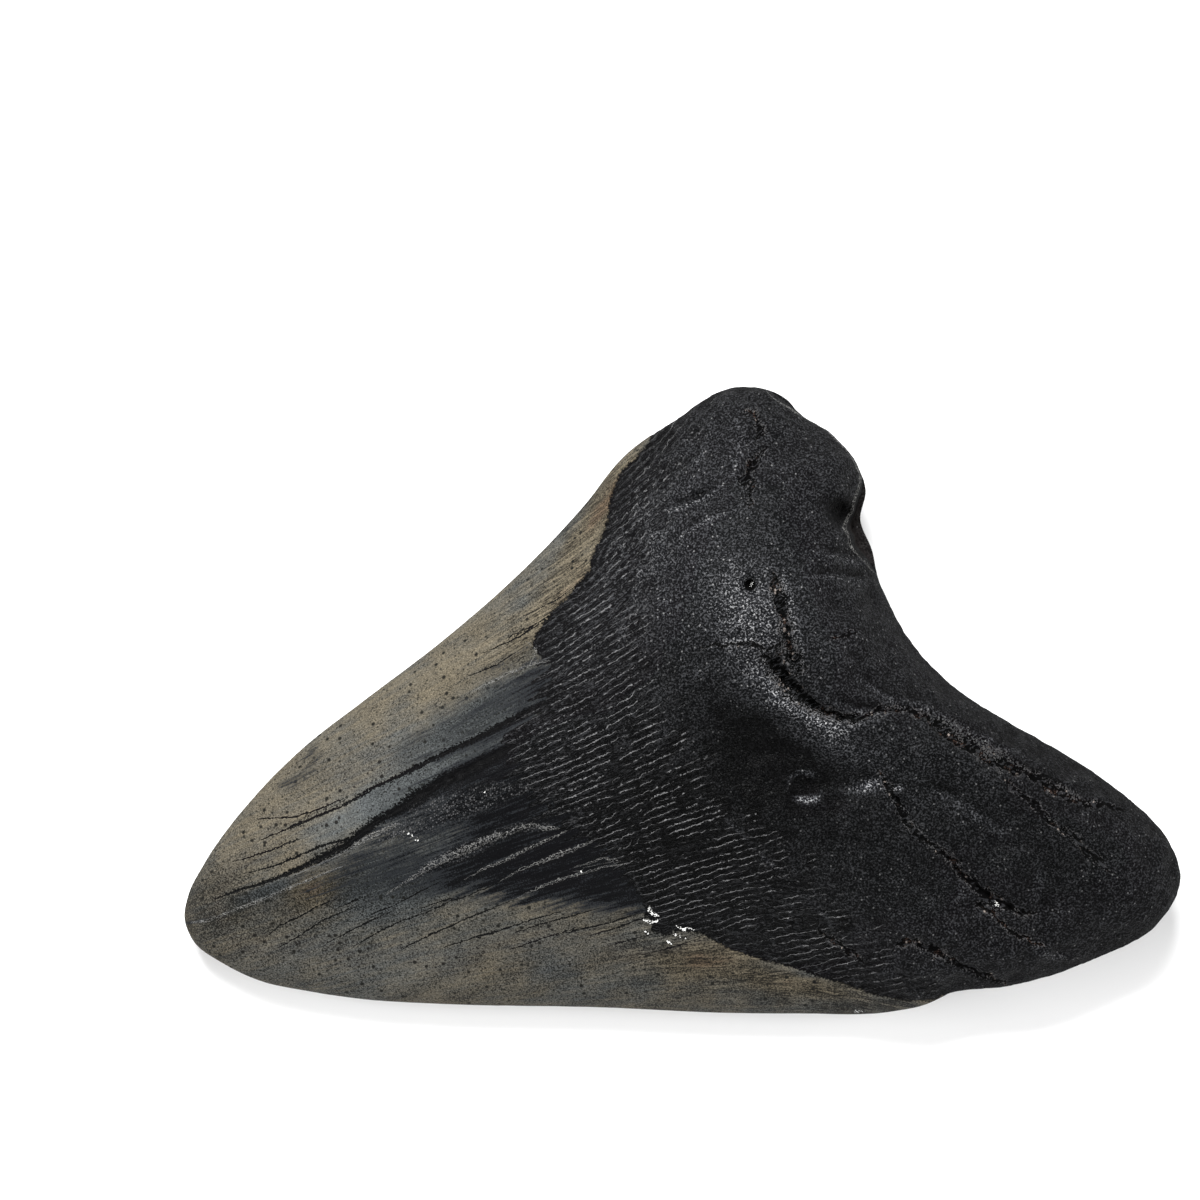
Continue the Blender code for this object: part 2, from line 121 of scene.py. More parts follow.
# runs of the crown: x, y, half width, and depth of a groove or height of a ridge
grooves = {
    "fine": [(-20.1, 0.1, 0.25, 0.05), (-23.1, -1.5, 0.37, 0.22), (-30.5, -5.5, 0.37, 0.26),
             (-34.1, -7.1, 0.38, 0.26), (-37.1, -8.7, 0.32, 0.22), (-41.5, -10.9, 0.32, 0.20),
             (-44.5, -12.2, 0.24, 0.16), (-49.6, -15.2, 0.21, 0.10), (-56.3, -18.0, 0.18, 0.08),
             (-61.9, -20.4, 0.07, 0.02)],
    "fineSide": [(-56.3, -20.2, 0.09, 0.02), (-60.0, -21.7, 0.16, 0.06), (-62.9, -22.7, 0.13, 0.05),
                 (-65.7, -23.5, 0.06, 0.02)],
    "fineUpper": [(-49.6, -14.2, 0.07, 0.02), (-53.3, -15.8, 0.12, 0.05), (-56.9, -17.0, 0.10, 0.05),
                  (-62.5, -17.3, 0.05, 0.02)],
    "broad": [(-24.0, -6.2, 0.4, 0.10), (-26.8, -7.5, 0.74, 0.30), (-31.2, -9.9, 0.96, 0.45),
              (-35.6, -11.8, 0.96, 0.55), (-39.3, -14.2, 0.96, 0.55), (-42.3, -16.1, 0.62, 0.50),
              (-44.8, -17.4, 0.62, 0.50), (-47.1, -19.3, 0.68, 0.50), (-49.6, -21.2, 0.59, 0.45),
              (-51.8, -22.3, 0.55, 0.40), (-54.1, -23.5, 0.38, 0.32), (-56.3, -24.5, 0.30, 0.26),
              (-59.2, -25.8, 0.26, 0.20), (-61.9, -26.8, 0.20, 0.16), (-65.1, -27.7, 0.16, 0.10),
              (-68.8, -29.1, 0.07, 0.03)],
    "broadUpper": [(-47.4, -19.6, 0.08, 0.03), (-49.6, -20.2, 0.12, 0.06), (-53.0, -21.2, 0.16, 0.10),
                   (-56.3, -22.7, 0.16, 0.10), (-59.5, -24.0, 0.13, 0.06), (-63.6, -25.2, 0.06, 0.02)],
}
# the ridges also carry a painted highlight along their edges
ridges = {
    "broadEdge": [(-42.0, -18.0, 0.30, 0.12), (-45.7, -19.7, 0.36, 0.16), (-47.7, -20.9, 0.34, 0.16),
                  (-49.6, -22.1, 0.16, 0.08), (-51.8, -23.2, 0.12, 0.06), (-54.5, -24.4, 0.11, 0.05),
                  (-57.0, -25.5, 0.09, 0.04)],
    "light": [(-49.6, -24.0, 0.09, 0.04), (-52.6, -25.2, 0.15, 0.08), (-56.3, -26.8, 0.19, 0.10),
              (-59.2, -28.0, 0.21, 0.12), (-62.6, -29.5, 0.22, 0.12), (-65.9, -30.7, 0.16, 0.10),
              (-68.8, -31.9, 0.15, 0.08), (-70.3, -32.4, 0.21, 0.08), (-72.1, -32.6, 0.12, 0.03)],
    "rough": [(-22.3, -17.8, 0.29, 0.20), (-24.6, -18.7, 0.40, 0.32), (-26.8, -19.5, 0.44, 0.36),
              (-29.4, -20.5, 0.53, 0.40), (-31.9, -21.7, 0.59, 0.40), (-34.4, -22.7, 0.56, 0.36),
              (-36.8, -24.0, 0.40, 0.28), (-39.3, -25.7, 0.26, 0.18), (-41.5, -27.0, 0.16, 0.10),
              (-43.3, -28.2, 0.06, 0.03)],
    "upper": [(-17.2, -18.9, 0.16, 0.12), (-19.4, -19.9, 0.21, 0.24), (-22.3, -21.2, 0.24, 0.28),
              (-25.0, -22.6, 0.27, 0.28), (-26.8, -23.5, 0.20, 0.22), (-29.0, -24.3, 0.13, 0.14),
              (-31.6, -25.8, 0.06, 0.03)],
    "middle": [(-13.2, -20.2, 0.16, 0.12), (-15.4, -21.2, 0.27, 0.26), (-17.6, -22.0, 0.36, 0.32),
               (-19.7, -22.9, 0.31, 0.30), (-21.3, -23.5, 0.21, 0.22), (-23.8, -24.5, 0.16, 0.14),
               (-26.5, -26.1, 0.06, 0.03)],
    "lower": [(-8.3, -23.5, 0.09, 0.06), (-11.3, -24.0, 0.13, 0.14), (-14.2, -24.8, 0.18, 0.22),
              (-16.4, -25.4, 0.19, 0.24), (-18.5, -26.1, 0.25, 0.24), (-20.3, -26.8, 0.19, 0.18),
              (-22.3, -27.7, 0.10, 0.08), (-24.1, -28.6, 0.06, 0.02)],
    "lowerTwin": [(-9.4, -22.9, 0.11, 0.08), (-11.7, -22.7, 0.16, 0.14), (-13.8, -23.5, 0.13, 0.10),
                  (-15.7, -24.0, 0.06, 0.02)],
    "brow": [(-22.6, 8.7, 0.07, 0.03), (-21.9, 8.1, 0.14, 0.10), (-21.3, 7.5, 0.15, 0.12),
             (-21.6, 6.6, 0.12, 0.08), (-22.1, 5.9, 0.07, 0.03)],
    "browEdge": [(-19.7, 6.0, 0.12, 0.06), (-21.6, 5.6, 0.14, 0.10), (-23.5, 4.9, 0.17, 0.14),
                 (-25.6, 4.1, 0.20, 0.16), (-27.2, 3.2, 0.17, 0.12), (-29.0, 2.4, 0.14, 0.08),
                 (-30.6, 1.5, 0.06, 0.02)],
    "flake": [(-21.5, -17.8, 0.14, 0.10), (-20.1, -18.4, 0.40, 0.24), (-18.5, -18.3, 0.26, 0.12)],
}

print("tooth: settings read")


def smoothStep(value):
    # 3t^2 - 2t^3, with t the value held between 0 and 1
    t = np.clip(value, 0.0, 1.0)
    return t * t * (3.0 - 2.0 * t)


def quarterRound(value):
    # height of a unit quarter circle: sqrt(1 - (1 - t)^2)
    t = np.clip(value, 0.0, 1.0)
    return np.sqrt(1.0 - (1.0 - t) ** 2)


def closedSpline(points, steps):
    # cubic through each pair of points; a tangent is the mean of its two chord slopes,
    # each weighted by the length of the other chord
    points = np.array(points)
    after = np.roll(points, -1, axis=0)
    chord = np.linalg.norm(after - points, axis=1)[:, None]
    slope = (after - points) / chord
    chordBefore = np.roll(chord, 1, axis=0)
    slopeBefore = np.roll(slope, 1, axis=0)
    tangent = (slope * chordBefore + slopeBefore * chord) / (chord + chordBefore)
    tangentAfter = np.roll(tangent, -1, axis=0)
    t = (np.arange(steps) / steps)[None, :, None]
    start = points[:, None, :] * (2 * t ** 3 - 3 * t ** 2 + 1)
    end = after[:, None, :] * (3 * t ** 2 - 2 * t ** 3)
    leave = (tangent * chord)[:, None, :] * (t ** 3 - 2 * t ** 2 + t)
    arrive = (tangentAfter * chord)[:, None, :] * (t ** 3 - t ** 2)
    return (start + end + leave + arrive).reshape(-1, 2)


def along(side, share):
    # points at shares of a polyline's length
    steps = np.linalg.norm(np.diff(side, axis=0), axis=1)
    length = np.concatenate([[0.0], np.cumsum(steps)])
    wanted = share * length[-1]
    return np.stack([np.interp(wanted, length, side[:, 0]), np.interp(wanted, length, side[:, 1])],
                    axis=-1)


def stretches(line, x, y):
    # each straight run of a polyline: its ends, the unheld and the held share of it nearest to x, y,
    # and the distance
    line = np.array(line, dtype=float)
    for start, end in zip(line[:-1], line[1:]):
        run = end[:2] - start[:2]
        raw = ((x - start[0]) * run[0] + (y - start[1]) * run[1]) / (run @ run)
        share = np.clip(raw, 0.0, 1.0)
        gap = np.hypot(x - start[0] - share * run[0], y - start[1] - share * run[1])
        yield start, end, raw, share, gap


def nearestOn(line, x, y):
    # distance to a polyline, and its further columns read at the nearest point
    best = np.full(x.shape, farOff)
    values = np.zeros(x.shape + (len(line[0]) - 2,))
    for start, end, _, share, gap in stretches(line, x, y):
        closer = gap < best
        best = np.where(closer, gap, best)
        here = start[2:] + share[..., None] * (end[2:] - start[2:])
        values = np.where(closer[..., None], here, values)
    return best, values


def sideOf(line, x, y):
    # signed distance to a polyline, plus on its left; the sign is that of the nearest run, and
    # where two are as near, of the one that is met more squarely
    nearest = np.full(x.shape, farOff)
    best = np.full(x.shape, farOff)
    sign = np.ones(x.shape)
    for start, end, raw, share, gap in stretches(line, x, y):
        run = end - start
        turn = run[0] * (y - start[1]) - run[1] * (x - start[0])
        measure = gap + 1.0e-6 * np.abs(raw - share) * np.hypot(*run)
        closer = measure < best
        best = np.where(closer, measure, best)
        sign = np.where(closer, np.where(turn < 0, -1.0, 1.0), sign)
        nearest = np.minimum(nearest, gap)
    return nearest * sign


def mound(spec, x, y):
    # height * exp(-(a/A)^2 - (b/B)^2) in turned coordinates a, b
    centreX, centreY, halfLong, halfShort, turn, height = spec
    angle = np.radians(turn)
    lengthwise = (x - centreX) * np.cos(angle) + (y - centreY) * np.sin(angle)
    crosswise = (y - centreY) * np.cos(angle) - (x - centreX) * np.sin(angle)
    return height * np.exp(-(lengthwise / halfLong) ** 2 - (crosswise / halfShort) ** 2)


def furrow(line, x, y, power=2.0):
    # depth * exp(-(distance / half width)^power), both read along the line
    gap, values = nearestOn(line, x, y)
    return values[..., 1] * np.exp(-(gap / np.maximum(values[..., 0], leastFurrow)) ** power)


def mean(pair, share):
    # between the crown's value and the root's
    return pair[0] + (pair[1] - pair[0]) * share


raster = {"left": -78.0, "right": 78.0, "low": -51.0, "high": 51.0, "pixel": 0.2, "seed": 11}
columns = int(round((raster["right"] - raster["left"]) / raster["pixel"]))
rows = int(round((raster["high"] - raster["low"]) / raster["pixel"]))
rasterX, rasterY = np.meshgrid(raster["left"] + (np.arange(columns) + 0.5) * raster["pixel"],
                               raster["low"] + (np.arange(rows) + 0.5) * raster["pixel"])
draw = np.random.RandomState(raster["seed"])


def bandNoise(period, spread):
    # white noise whose waves are kept as exp(-((period * frequency - 1) / spread)^2),
    # scaled to a standard deviation of one
    white = draw.normal(size=(rows, columns))
    fy = np.fft.fftfreq(rows, raster["pixel"])[:, None]
    fx = np.fft.rfftfreq(columns, raster["pixel"])[None, :]
    keep = np.exp(-((period * np.hypot(fx, fy) - 1.0) / spread) ** 2)
    field = np.fft.irfft2(np.fft.rfft2(white) * keep, s=(rows, columns))
    return field / field.std()


def read(name, x, y):
    # bilinear reading of a raster field
    field = fields[name]
    column = np.clip((x - raster["left"]) / raster["pixel"] - 0.5, 0, columns - 1.001)
    row = np.clip((y - raster["low"]) / raster["pixel"] - 0.5, 0, rows - 1.001)
    c0 = column.astype(int)
    r0 = row.astype(int)
    fc = column - c0
    fr = row - r0
    lower = field[r0, c0] * (1 - fc) + field[r0, c0 + 1] * fc
    upper = field[r0 + 1, c0] * (1 - fc) + field[r0 + 1, c0 + 1] * fc
    return lower * (1 - fr) + upper * fr


# the way the crown's fibres run: x, y and slope in degrees
fibres = {
    "samples": [(-9.0, 32.6, 40.0), (-3.0, 40.0, 50.0), (-9.0, 21.0, 36.0), (-12.0, 0.0, 27.0),
                (-12.0, -14.6, 22.0), (2.7, -22.0, 17.0), (11.6, -26.4, 14.0), (-18.0, -29.4, 21.0),
                (-41.5, -11.7, 26.0), (-56.3, -32.3, 32.0), (-56.3, -14.6, 25.0), (-26.8, 6.0, 25.0),
                (-40.0, -38.0, 27.0), (10.0, 10.0, 25.0), (20.0, -38.0, 12.0)],
    "reach": 6.0, "stepLength": 0.4, "lean": 0.49, "bend": 0.0033, "spread": 0.010,
    "lengthwise": (0.9, 0.42), "rimHeight": 6.5, "turnover": 6.0,
}


def fibreAngle(x, y):
    # slopes of the samples weighted by 1 / (distance + reach)^4
    weightSum = np.zeros(x.shape)
    total = np.zeros(x.shape)
    for sampleX, sampleY, slope in fibres["samples"]:
        weight = 1.0 / (np.hypot(x - sampleX, y - sampleY) + fibres["reach"]) ** 4
        weightSum += weight
        total += weight * slope
    return np.radians(total / weightSum)


def combAlong(jobs):
    # each field's weighted mean along the fibres, both ways from each point; jobs are (field, length)
    angle = fibreAngle(rasterX, rasterY)
    cosine = np.cos(angle).astype(np.float32)
    sine = np.sin(angle).astype(np.float32)
    stride = fibres["stepLength"] / raster["pixel"]
    totals = [field.copy() for field, length in jobs]
    furthest = int(max(length for field, length in jobs) / fibres["stepLength"])
    startColumn, startRow = np.meshgrid(np.arange(columns, dtype=np.float32),
                                        np.arange(rows, dtype=np.float32))
    for way in (stride, -stride):
        column = startColumn.copy()
        row = startRow.copy()
        here = np.arange(rows * columns).reshape(rows, columns)
        for step in range(1, furthest + 1):
            column = np.clip(column + way * cosine.ravel()[here], 0, columns - 1)
            row = np.clip(row + way * sine.ravel()[here], 0, rows - 1)
            here = (row + 0.5).astype(int) * columns + (column + 0.5).astype(int)
            here = np.minimum(here, rows * columns - 1)
            for total, (field, length) in zip(totals, jobs):
                weight = 1.0 - (step * fibres["stepLength"] / length) ** 2
                if weight > 0:
                    total += weight * field.ravel()[here]
    return [total / total.std() for total in totals]


print("tooth: fields")
fields = {
    "wide": bandNoise(9.0, 0.5),
    "broad": bandNoise(5.0, 0.45),
    "medium": bandNoise(2.4, 0.45),
    "small": bandNoise(1.3, 0.4),
    "fine": bandNoise(0.85, 0.35),
    "warpX": bandNoise(2.2, 0.6),
    "warpY": bandNoise(2.2, 0.6),
}
combed = {"fold": (bandNoise(1.02, 0.26), 3.2), "crinkle": (bandNoise(0.9, 0.35), 0.7),
          "streak": (bandNoise(1.6, 0.6), 7.0), "band": (bandNoise(5.0, 0.6), 14.0)}
fields.update(zip(combed, combAlong(list(combed.values()))))
# the folds are kept as a wave, as a distance to its zero lines, which is wave over the length of its
# slope, and as a fall across the fibres, over the mean length of the slope; wave and fall have a limit
foldLimit = 1.6
slopeY, slopeX = np.gradient(fields["fold"], raster["pixel"])
steepness = np.hypot(slopeX, slopeY)
slant = fibreAngle(rasterX, rasterY)
fall = (slopeX * np.sin(slant) - slopeY * np.cos(slant)) / steepness.mean()
fields["foldFall"] = np.clip(fall, -foldLimit, foldLimit)
fields["foldWave"] = fields["fold"]
fields["fold"] = np.clip(fields["fold"] / np.maximum(steepness, 0.2), -1.0, 1.0)


def outlineSides():
    names = ("lowerEdge", "basalMargin", "upperEdge", "tip")
    loop = closedSpline(sum([outline[name] for name in names], []), outline["steps"])
    ring = np.vstack([loop, loop[:1]])
    cut = np.cumsum([0] + [len(outline[name]) for name in names]) * outline["steps"]
    return ring, [ring[cut[k]:cut[k + 1] + 1] for k in range(4)]


def fillOutline(u, v, sides):
    # Coons patch: edges blended across, ends blended along, less the four corners' mean
    lower = along(sides[0], u)[:, None, :]
    root = along(sides[1], v)[None, :, :]
    upper = along(sides[2], 1.0 - u)[:, None, :]
    tip = along(sides[3], 1.0 - v)[None, :, :]
    u = u[:, None, None]
    v = v[None, :, None]
    betweenEdges = lower * (1 - v) + upper * v
    betweenEnds = tip * (1 - u) + root * u
    lowerCorners = sides[0][0] * (1 - u) + sides[0][-1] * u
    upperCorners = sides[2][-1] * (1 - u) + sides[2][0] * u
    return betweenEdges + betweenEnds - lowerCorners * (1 - v) - upperCorners * v


def rootShare(x, y):
    # 0 on the crown and 1 on the root, across the neck
    start = np.array(body["neck"][0])
    run = np.array(body["neck"][1]) - start
    run /= np.hypot(*run)
    past = -(x - start[0]) * run[1] + (y - start[1]) * run[0]
    return smoothStep(past / (2 * body["neckBlend"]) + 0.5)


def crestField(x, y):
    # crest heights weighted by 1 / (distance + 1)^4, and the least distance
    weightSum = np.zeros(x.shape)
    heightSum = np.zeros(x.shape)
    nearest = np.full(x.shape, farOff)
    for crest in crests.values():
        gap, height = nearestOn(crest, x, y)
        weight = 1.0 / (gap + 1.0) ** 4
        weightSum += weight
        heightSum += weight * height[..., 0]
        nearest = np.minimum(nearest, gap)
    return heightSum / weightSum, nearest


def lingualForm(x, y, inset):
    # edge + rounded rim + roof, roof = 1 - (1 - s)^p with s = inset / (inset + distance to crest)
    root = rootShare(x, y)
    edge = mean(body["edgeHeight"], root)
    crest, gap = crestField(x, y)
    rimRise = mean(body["rimRise"], root)
    rise = rimRise * quarterRound(inset / mean(body["rimWidth"], root))
    share = inset / (inset + gap + 0.001)
    roof = 1.0 - (1.0 - share) ** body["roofPower"]
    height = edge + rise + (crest - edge - rimRise) * roof
    low = np.zeros(x.shape)
    for turn, length, lift in body["lumps"]:
        angle = np.radians(turn)
        low += lift * np.sin(2 * np.pi * (x * np.cos(angle) + y * np.sin(angle)) / length)
    low *= root
    for spec in swellings:
        low += mound(spec, x, y)
    return height + low * smoothStep(inset / body["lumpFade"]), edge


def labialForm(x, y, inset):
    # level in the middle, rising to the outline: edge * (1 - rim - slope), plus recess and hollow
    root = rootShare(x, y)
    edge = mean(body["edgeHeight"], root)
    width = mean(body["undersideWidth"], root)
    rim = quarterRound(inset / mean(body["labialRim"], root))
    slope = 1.0 - (1.0 - np.clip(inset / width, 0.0, 1.0)) ** 2
    rimPart = mean(body["labialRimShare"], root)
    height = edge * (1.0 - rimPart * rim - (1.0 - rimPart) * slope)
    border = sideOf(body["labialBorder"], x, y)
    recess = body["labialStep"] * smoothStep(border / body["labialStepWidth"] + 0.5)
    recess *= np.exp(-(border / body["labialFade"]) ** 2)
    height += (recess + mound(body["hollow"], x, y)) * smoothStep(inset / body["hollowFade"])
    return np.maximum(height, 0.0), border


# front lip of the broken upper lobe, and the wall behind it
lip = {
    "line": [(10.1, 46.2), (13.8, 44.7), (16.4, 42.6), (20.7, 40.4), (24.1, 37.3), (26.0, 35.3),
             (26.4, 33.3), (25.7, 30.8), (25.1, 28.2), (24.2, 26.7), (23.5, 25.5), (24.7, 23.9),
             (24.9, 22.6), (26.0, 21.1), (28.1, 19.0)],
    # edge: a painted highlight along the lip, x, y and half width
    "edge": [(12.5, 45.2, 0.06), (16.4, 42.6, 0.16), (20.7, 40.4, 0.16), (24.1, 37.3, 0.20),
             (26.4, 33.3, 0.22), (25.1, 28.2, 0.24), (23.5, 25.5, 0.24), (24.9, 22.6, 0.20),
             (28.1, 19.0, 0.08)],
    "drop": 6.0, "width": 1.3, "reach": 5.0, "roughness": 0.55, "start": (9.0, 17.0), "blend": 3.0,
}

# both run from the upper edge to the lower, with the root on their left
borders = {
    "enamel": [(-3.9, 40.7), (-4.9, 37.8), (-6.4, 36.3), (-7.9, 35.0), (-9.1, 33.5), (-10.0, 31.4),
               (-10.5, 29.6), (-10.7, 27.9), (-11.0, 26.1), (-11.7, 24.2), (-12.8, 22.6), (-13.2, 20.8),
               (-13.6, 19.2), (-15.0, 17.7), (-16.3, 15.9), (-17.8, 14.5), (-19.2, 13.0), (-20.4, 11.5),
               (-21.2, 10.2), (-22.3, 8.8), (-21.5, 7.5), (-20.6, 5.9), (-20.4, 4.1), (-20.7, 2.4),
               (-21.6, 0.6), (-23.2, -1.0), (-25.3, -3.1), (-26.3, -5.8), (-25.3, -9.4), (-24.1, -13.9),
               (-19.7, -16.8), (-16.2, -19.3), (-12.0, -22.0), (-8.8, -25.2), (-6.4, -28.3),
               (-4.9, -31.6), (-4.6, -33.4), (-2.9, -34.2), (-0.2, -33.4), (2.7, -33.8), (7.2, -36.4),
               (13.1, -38.2), (17.5, -39.4), (24.9, -41.9), (27.8, -42.9), (31.5, -43.8), (35.9, -44.0),
               (38.9, -43.2), (40.5, -52.0)],
    "neck": [(-1.4, 41.7), (-3.2, 36.3), (-4.6, 31.1), (-6.6, 23.7), (-7.3, 17.8), (-7.6, 11.9),
             (-6.1, 3.1), (-1.7, -7.2), (2.7, -14.6), (8.6, -19.0), (13.1, -24.9), (21.9, -32.3),
             (29.3, -40.4), (33.0, -44.1)],
    "ledge": 0.28, "ledgeReach": 5.0, "ragged": 0.10, "blend": 0.8, "streakyBlend": 3.0,
    "streakySway": 1.3, "streakyShift": 0.9, "neckSway": 1.6, "neckBlend": 6.0, "crumblyPlace": 0.5,
    "crumblyReach": 8.0, "ledgeWidth": 0.5, "ledgeAbove": (4.0, 6.0), "ledgeBelow": (-28.0, 4.0),
    "ledgeRight": (-11.0, 5.0),
    "streaky": [(-20.0, -14.0, 16.0, 8.0, -50.0, 1.0), (-21.5, 2.5, 6.0, 5.0, 0.0, 0.6)],
}

# creases of the root: x, y, half width and depth
creases = [
    [(0.5, 34.5, 0.3, 0.1), (2.2, 36.5, 0.5, 0.25), (3.4, 39.6, 0.4, 0.1)],
    [(-3.0, 28.5, 0.4, 0.15), (0.6, 29.4, 0.5, 0.5), (3.4, 30.6, 0.5, 0.35), (5.2, 31.8, 0.3, 0.1)],
    [(-1.5, 24.0, 0.4, 0.1), (3.0, 27.0, 0.6, 0.3), (8.0, 28.8, 0.4, 0.1)],
    [(-6.5, 21.5, 0.3, 0.1), (-6.9, 18.5, 0.5, 0.35), (-7.6, 15.5, 0.5, 0.35), (-9.5, 13.0, 0.3, 0.1)],
    [(3.0, 9.0, 0.5, 0.15), (8.0, 10.0, 0.7, 0.3), (13.0, 9.6, 0.4, 0.15)],
    [(4.0, 12.0, 0.5, 0.1), (9.0, 12.6, 0.6, 0.25), (13.5, 11.8, 0.4, 0.1)],
    [(22.0, 0.8, 0.5, 0.2), (25.0, -0.4, 0.8, 0.6), (28.0, -0.6, 0.6, 0.4), (30.0, -1.0, 0.4, 0.1)],
    [(24.0, 5.0, 0.4, 0.1), (27.0, 3.2, 0.6, 0.35), (30.4, 0.8, 0.6, 0.4), (31.8, -0.6, 0.4, 0.2)],
    [(19.0, 22.5, 0.5, 0.1), (23.0, 21.8, 0.8, 0.4), (26.0, 21.0, 0.6, 0.3)],
    [(18.0, 18.6, 0.4, 0.1), (22.0, 19.0, 0.6, 0.3), (26.4, 18.2, 0.5, 0.2)],
    [(36.0, -12.0, 0.6, 0.2), (41.0, -14.5, 0.9, 0.5), (46.0, -18.0, 0.7, 0.3)],
    [(38.0, -20.0, 0.5, 0.2), (40.5, -24.0, 0.8, 0.4), (40.0, -28.0, 0.5, 0.2)],
    [(50.5, -21.0, 0.5, 0.1), (51.5, -24.5, 0.9, 0.4), (50.8, -28.0, 0.6, 0.1)],
]
raisedRing = {"centre": (17.5, -12.5), "radius": 2.3, "halfWidth": 0.45, "height": 0.22}
foramen = {"centre": (9.6, 17.1), "radius": 0.88}

# heights along the surface's own normal
relief = {
    "fold": 0.050, "foldWarp": 0.05, "crinkle": 0.075, "rootBroad": 0.10, "rootMedium": 0.050,
    "rootSmall": 0.045, "rootFine": 0.020, "enamelBroad": 0.02, "crumb": 0.16, "warp": 0.22, "bite": 0.22,
    "crumbFine": 0.6, "crumbCrinkle": 0.5, "crackPower": 2.4, "wrinkle": 0.35, "atRim": 0.3, "rimFade": 1.2,
    "crumbs": {"zone": [(-44.2, -19.9, 0.7, 0.8), (-41.5, -18.7, 1.6, 1.0), (-37.8, -16.8, 2.5, 1.0),
                        (-34.1, -15.5, 2.6, 1.0), (-30.0, -14.2, 2.3, 1.0), (-26.0, -13.1, 1.6, 0.9),
                        (-22.3, -12.2, 0.9, 0.6)],
               "ridge": [(-41.5, -27.0, 0.5, 0.5), (-37.8, -24.8, 0.9, 0.9), (-34.4, -22.7, 1.3, 1.0),
                         (-31.2, -21.4, 1.3, 1.0), (-27.5, -19.8, 1.1, 1.0), (-23.8, -18.1, 0.8, 0.8),
                         (-19.4, -18.1, 0.7, 0.6)]},
}


def strokes(lines, x, y, power=2.0):
    # the strongest of several furrows
    return np.maximum.reduce([furrow(line, x, y, power) for line in lines])


def offCircle(circle, x, y):
    # distance outwards from a circle
    centreX, centreY = circle["centre"]
    return np.hypot(x - centreX, y - centreY) - circle["radius"]


def rimShare(inset, width):
    # the relief is weaker towards the outline
    return relief["atRim"] + (1.0 - relief["atRim"]) * smoothStep(inset / width)


def lingualRelief(x, y, inset):
    # each finish's waves where that finish is, less cracks, creases, grooves and the ledge,
    # plus ridges and a ring of exp(-((distance - radius) / half width)^2)
    ragX = x + borders["ragged"] * read("small", x, y)
    enamel = -sideOf(borders["enamel"], ragX, y)
    streaky = np.minimum(sum(mound(spec, x, y) for spec in borders["streaky"]), 1.0)
    enamel += streaky * (borders["streakySway"] * read("streak", x, y) + borders["streakyShift"])
    neck = sideOf(borders["neck"], x, y) + borders["neckSway"] * read("broad", x, y)
    dentine = smoothStep(0.5 - enamel / (borders["blend"] + borders["streakyBlend"] * streaky))
    onRoot = smoothStep(neck / borders["neckBlend"] + 0.5)
    driftX, driftY = read("warpX", x, y), read("warpY", x, y)
    bentX, bentY = x + relief["warp"] * driftX, y + relief["warp"] * driftY
    leanX, leanY = x + relief["foldWarp"] * driftX, y + relief["foldWarp"] * driftY
    crinkles = read("crinkle", x, y)
    crumbly = dentine * np.exp(-((neck - borders["crumblyPlace"]) / borders["crumblyReach"]) ** 2)
    wave = np.clip(read("foldWave", leanX, leanY), -foldLimit, foldLimit)
    height = dentine * (1.0 - onRoot) * relief["fold"] * wave
    height += crumbly * relief["crinkle"] * crinkles
    for name in ("Broad", "Medium", "Small", "Fine"):
        height += dentine * onRoot * relief["root" + name] * read(name.lower(), x, y)
    height += (1.0 - dentine) * relief["enamelBroad"] * read("broad", x, y)
    crumb = strokes(relief["crumbs"].values(), x, y)
    broken = relief["crumbFine"] * read("fine", x, y) + relief["crumbCrinkle"] * crinkles
    height += crumb * relief["crumb"] * broken
    rough = 1.0 + relief["bite"] * read("small", x, y)
    height -= strokes(rootCracks, bentX, bentY, relief["crackPower"]) * rough
    height -= strokes(creases, bentX, bentY)
    around = offCircle(raisedRing, x, y)
    height += raisedRing["height"] * np.exp(-(around / raisedRing["halfWidth"]) ** 2)
    height -= strokes(grooves.values(), x, y) * rough
    height += strokes(ridges.values(), x, y) * rough
    # the ledge shows in the upper part, and in the lowest part towards the root; place and blend
    (upperY, upperBlend), (lowerY, lowerBlend) = borders["ledgeAbove"], borders["ledgeBelow"]
    rightX, rightBlend = borders["ledgeRight"]
    lowest = smoothStep((x - rightX) / rightBlend) * smoothStep((lowerY - y) / lowerBlend)
    nearLedge = np.maximum(smoothStep((y - upperY) / upperBlend), lowest)
    step = borders["ledge"] * smoothStep(0.5 - enamel / borders["ledgeWidth"])
    step *= np.exp(-(enamel / borders["ledgeReach"]) ** 2)
    height -= step * nearLedge
    inCrack, crackNear = nearestLine(rootCracks, bentX, bentY)
    values = {"enamel": enamel, "neck": neck, "crack": inCrack, "crackNear": crackNear, "crumb": crumb,
              "hole": -offCircle(foramen, x, y), "fold": read("fold", leanX, leanY),
              "foldFall": read("foldFall", leanX, leanY), "wrinkle": crumbly * crinkles * relief["wrinkle"]}
    return height * rimShare(inset, relief["rimFade"]), values
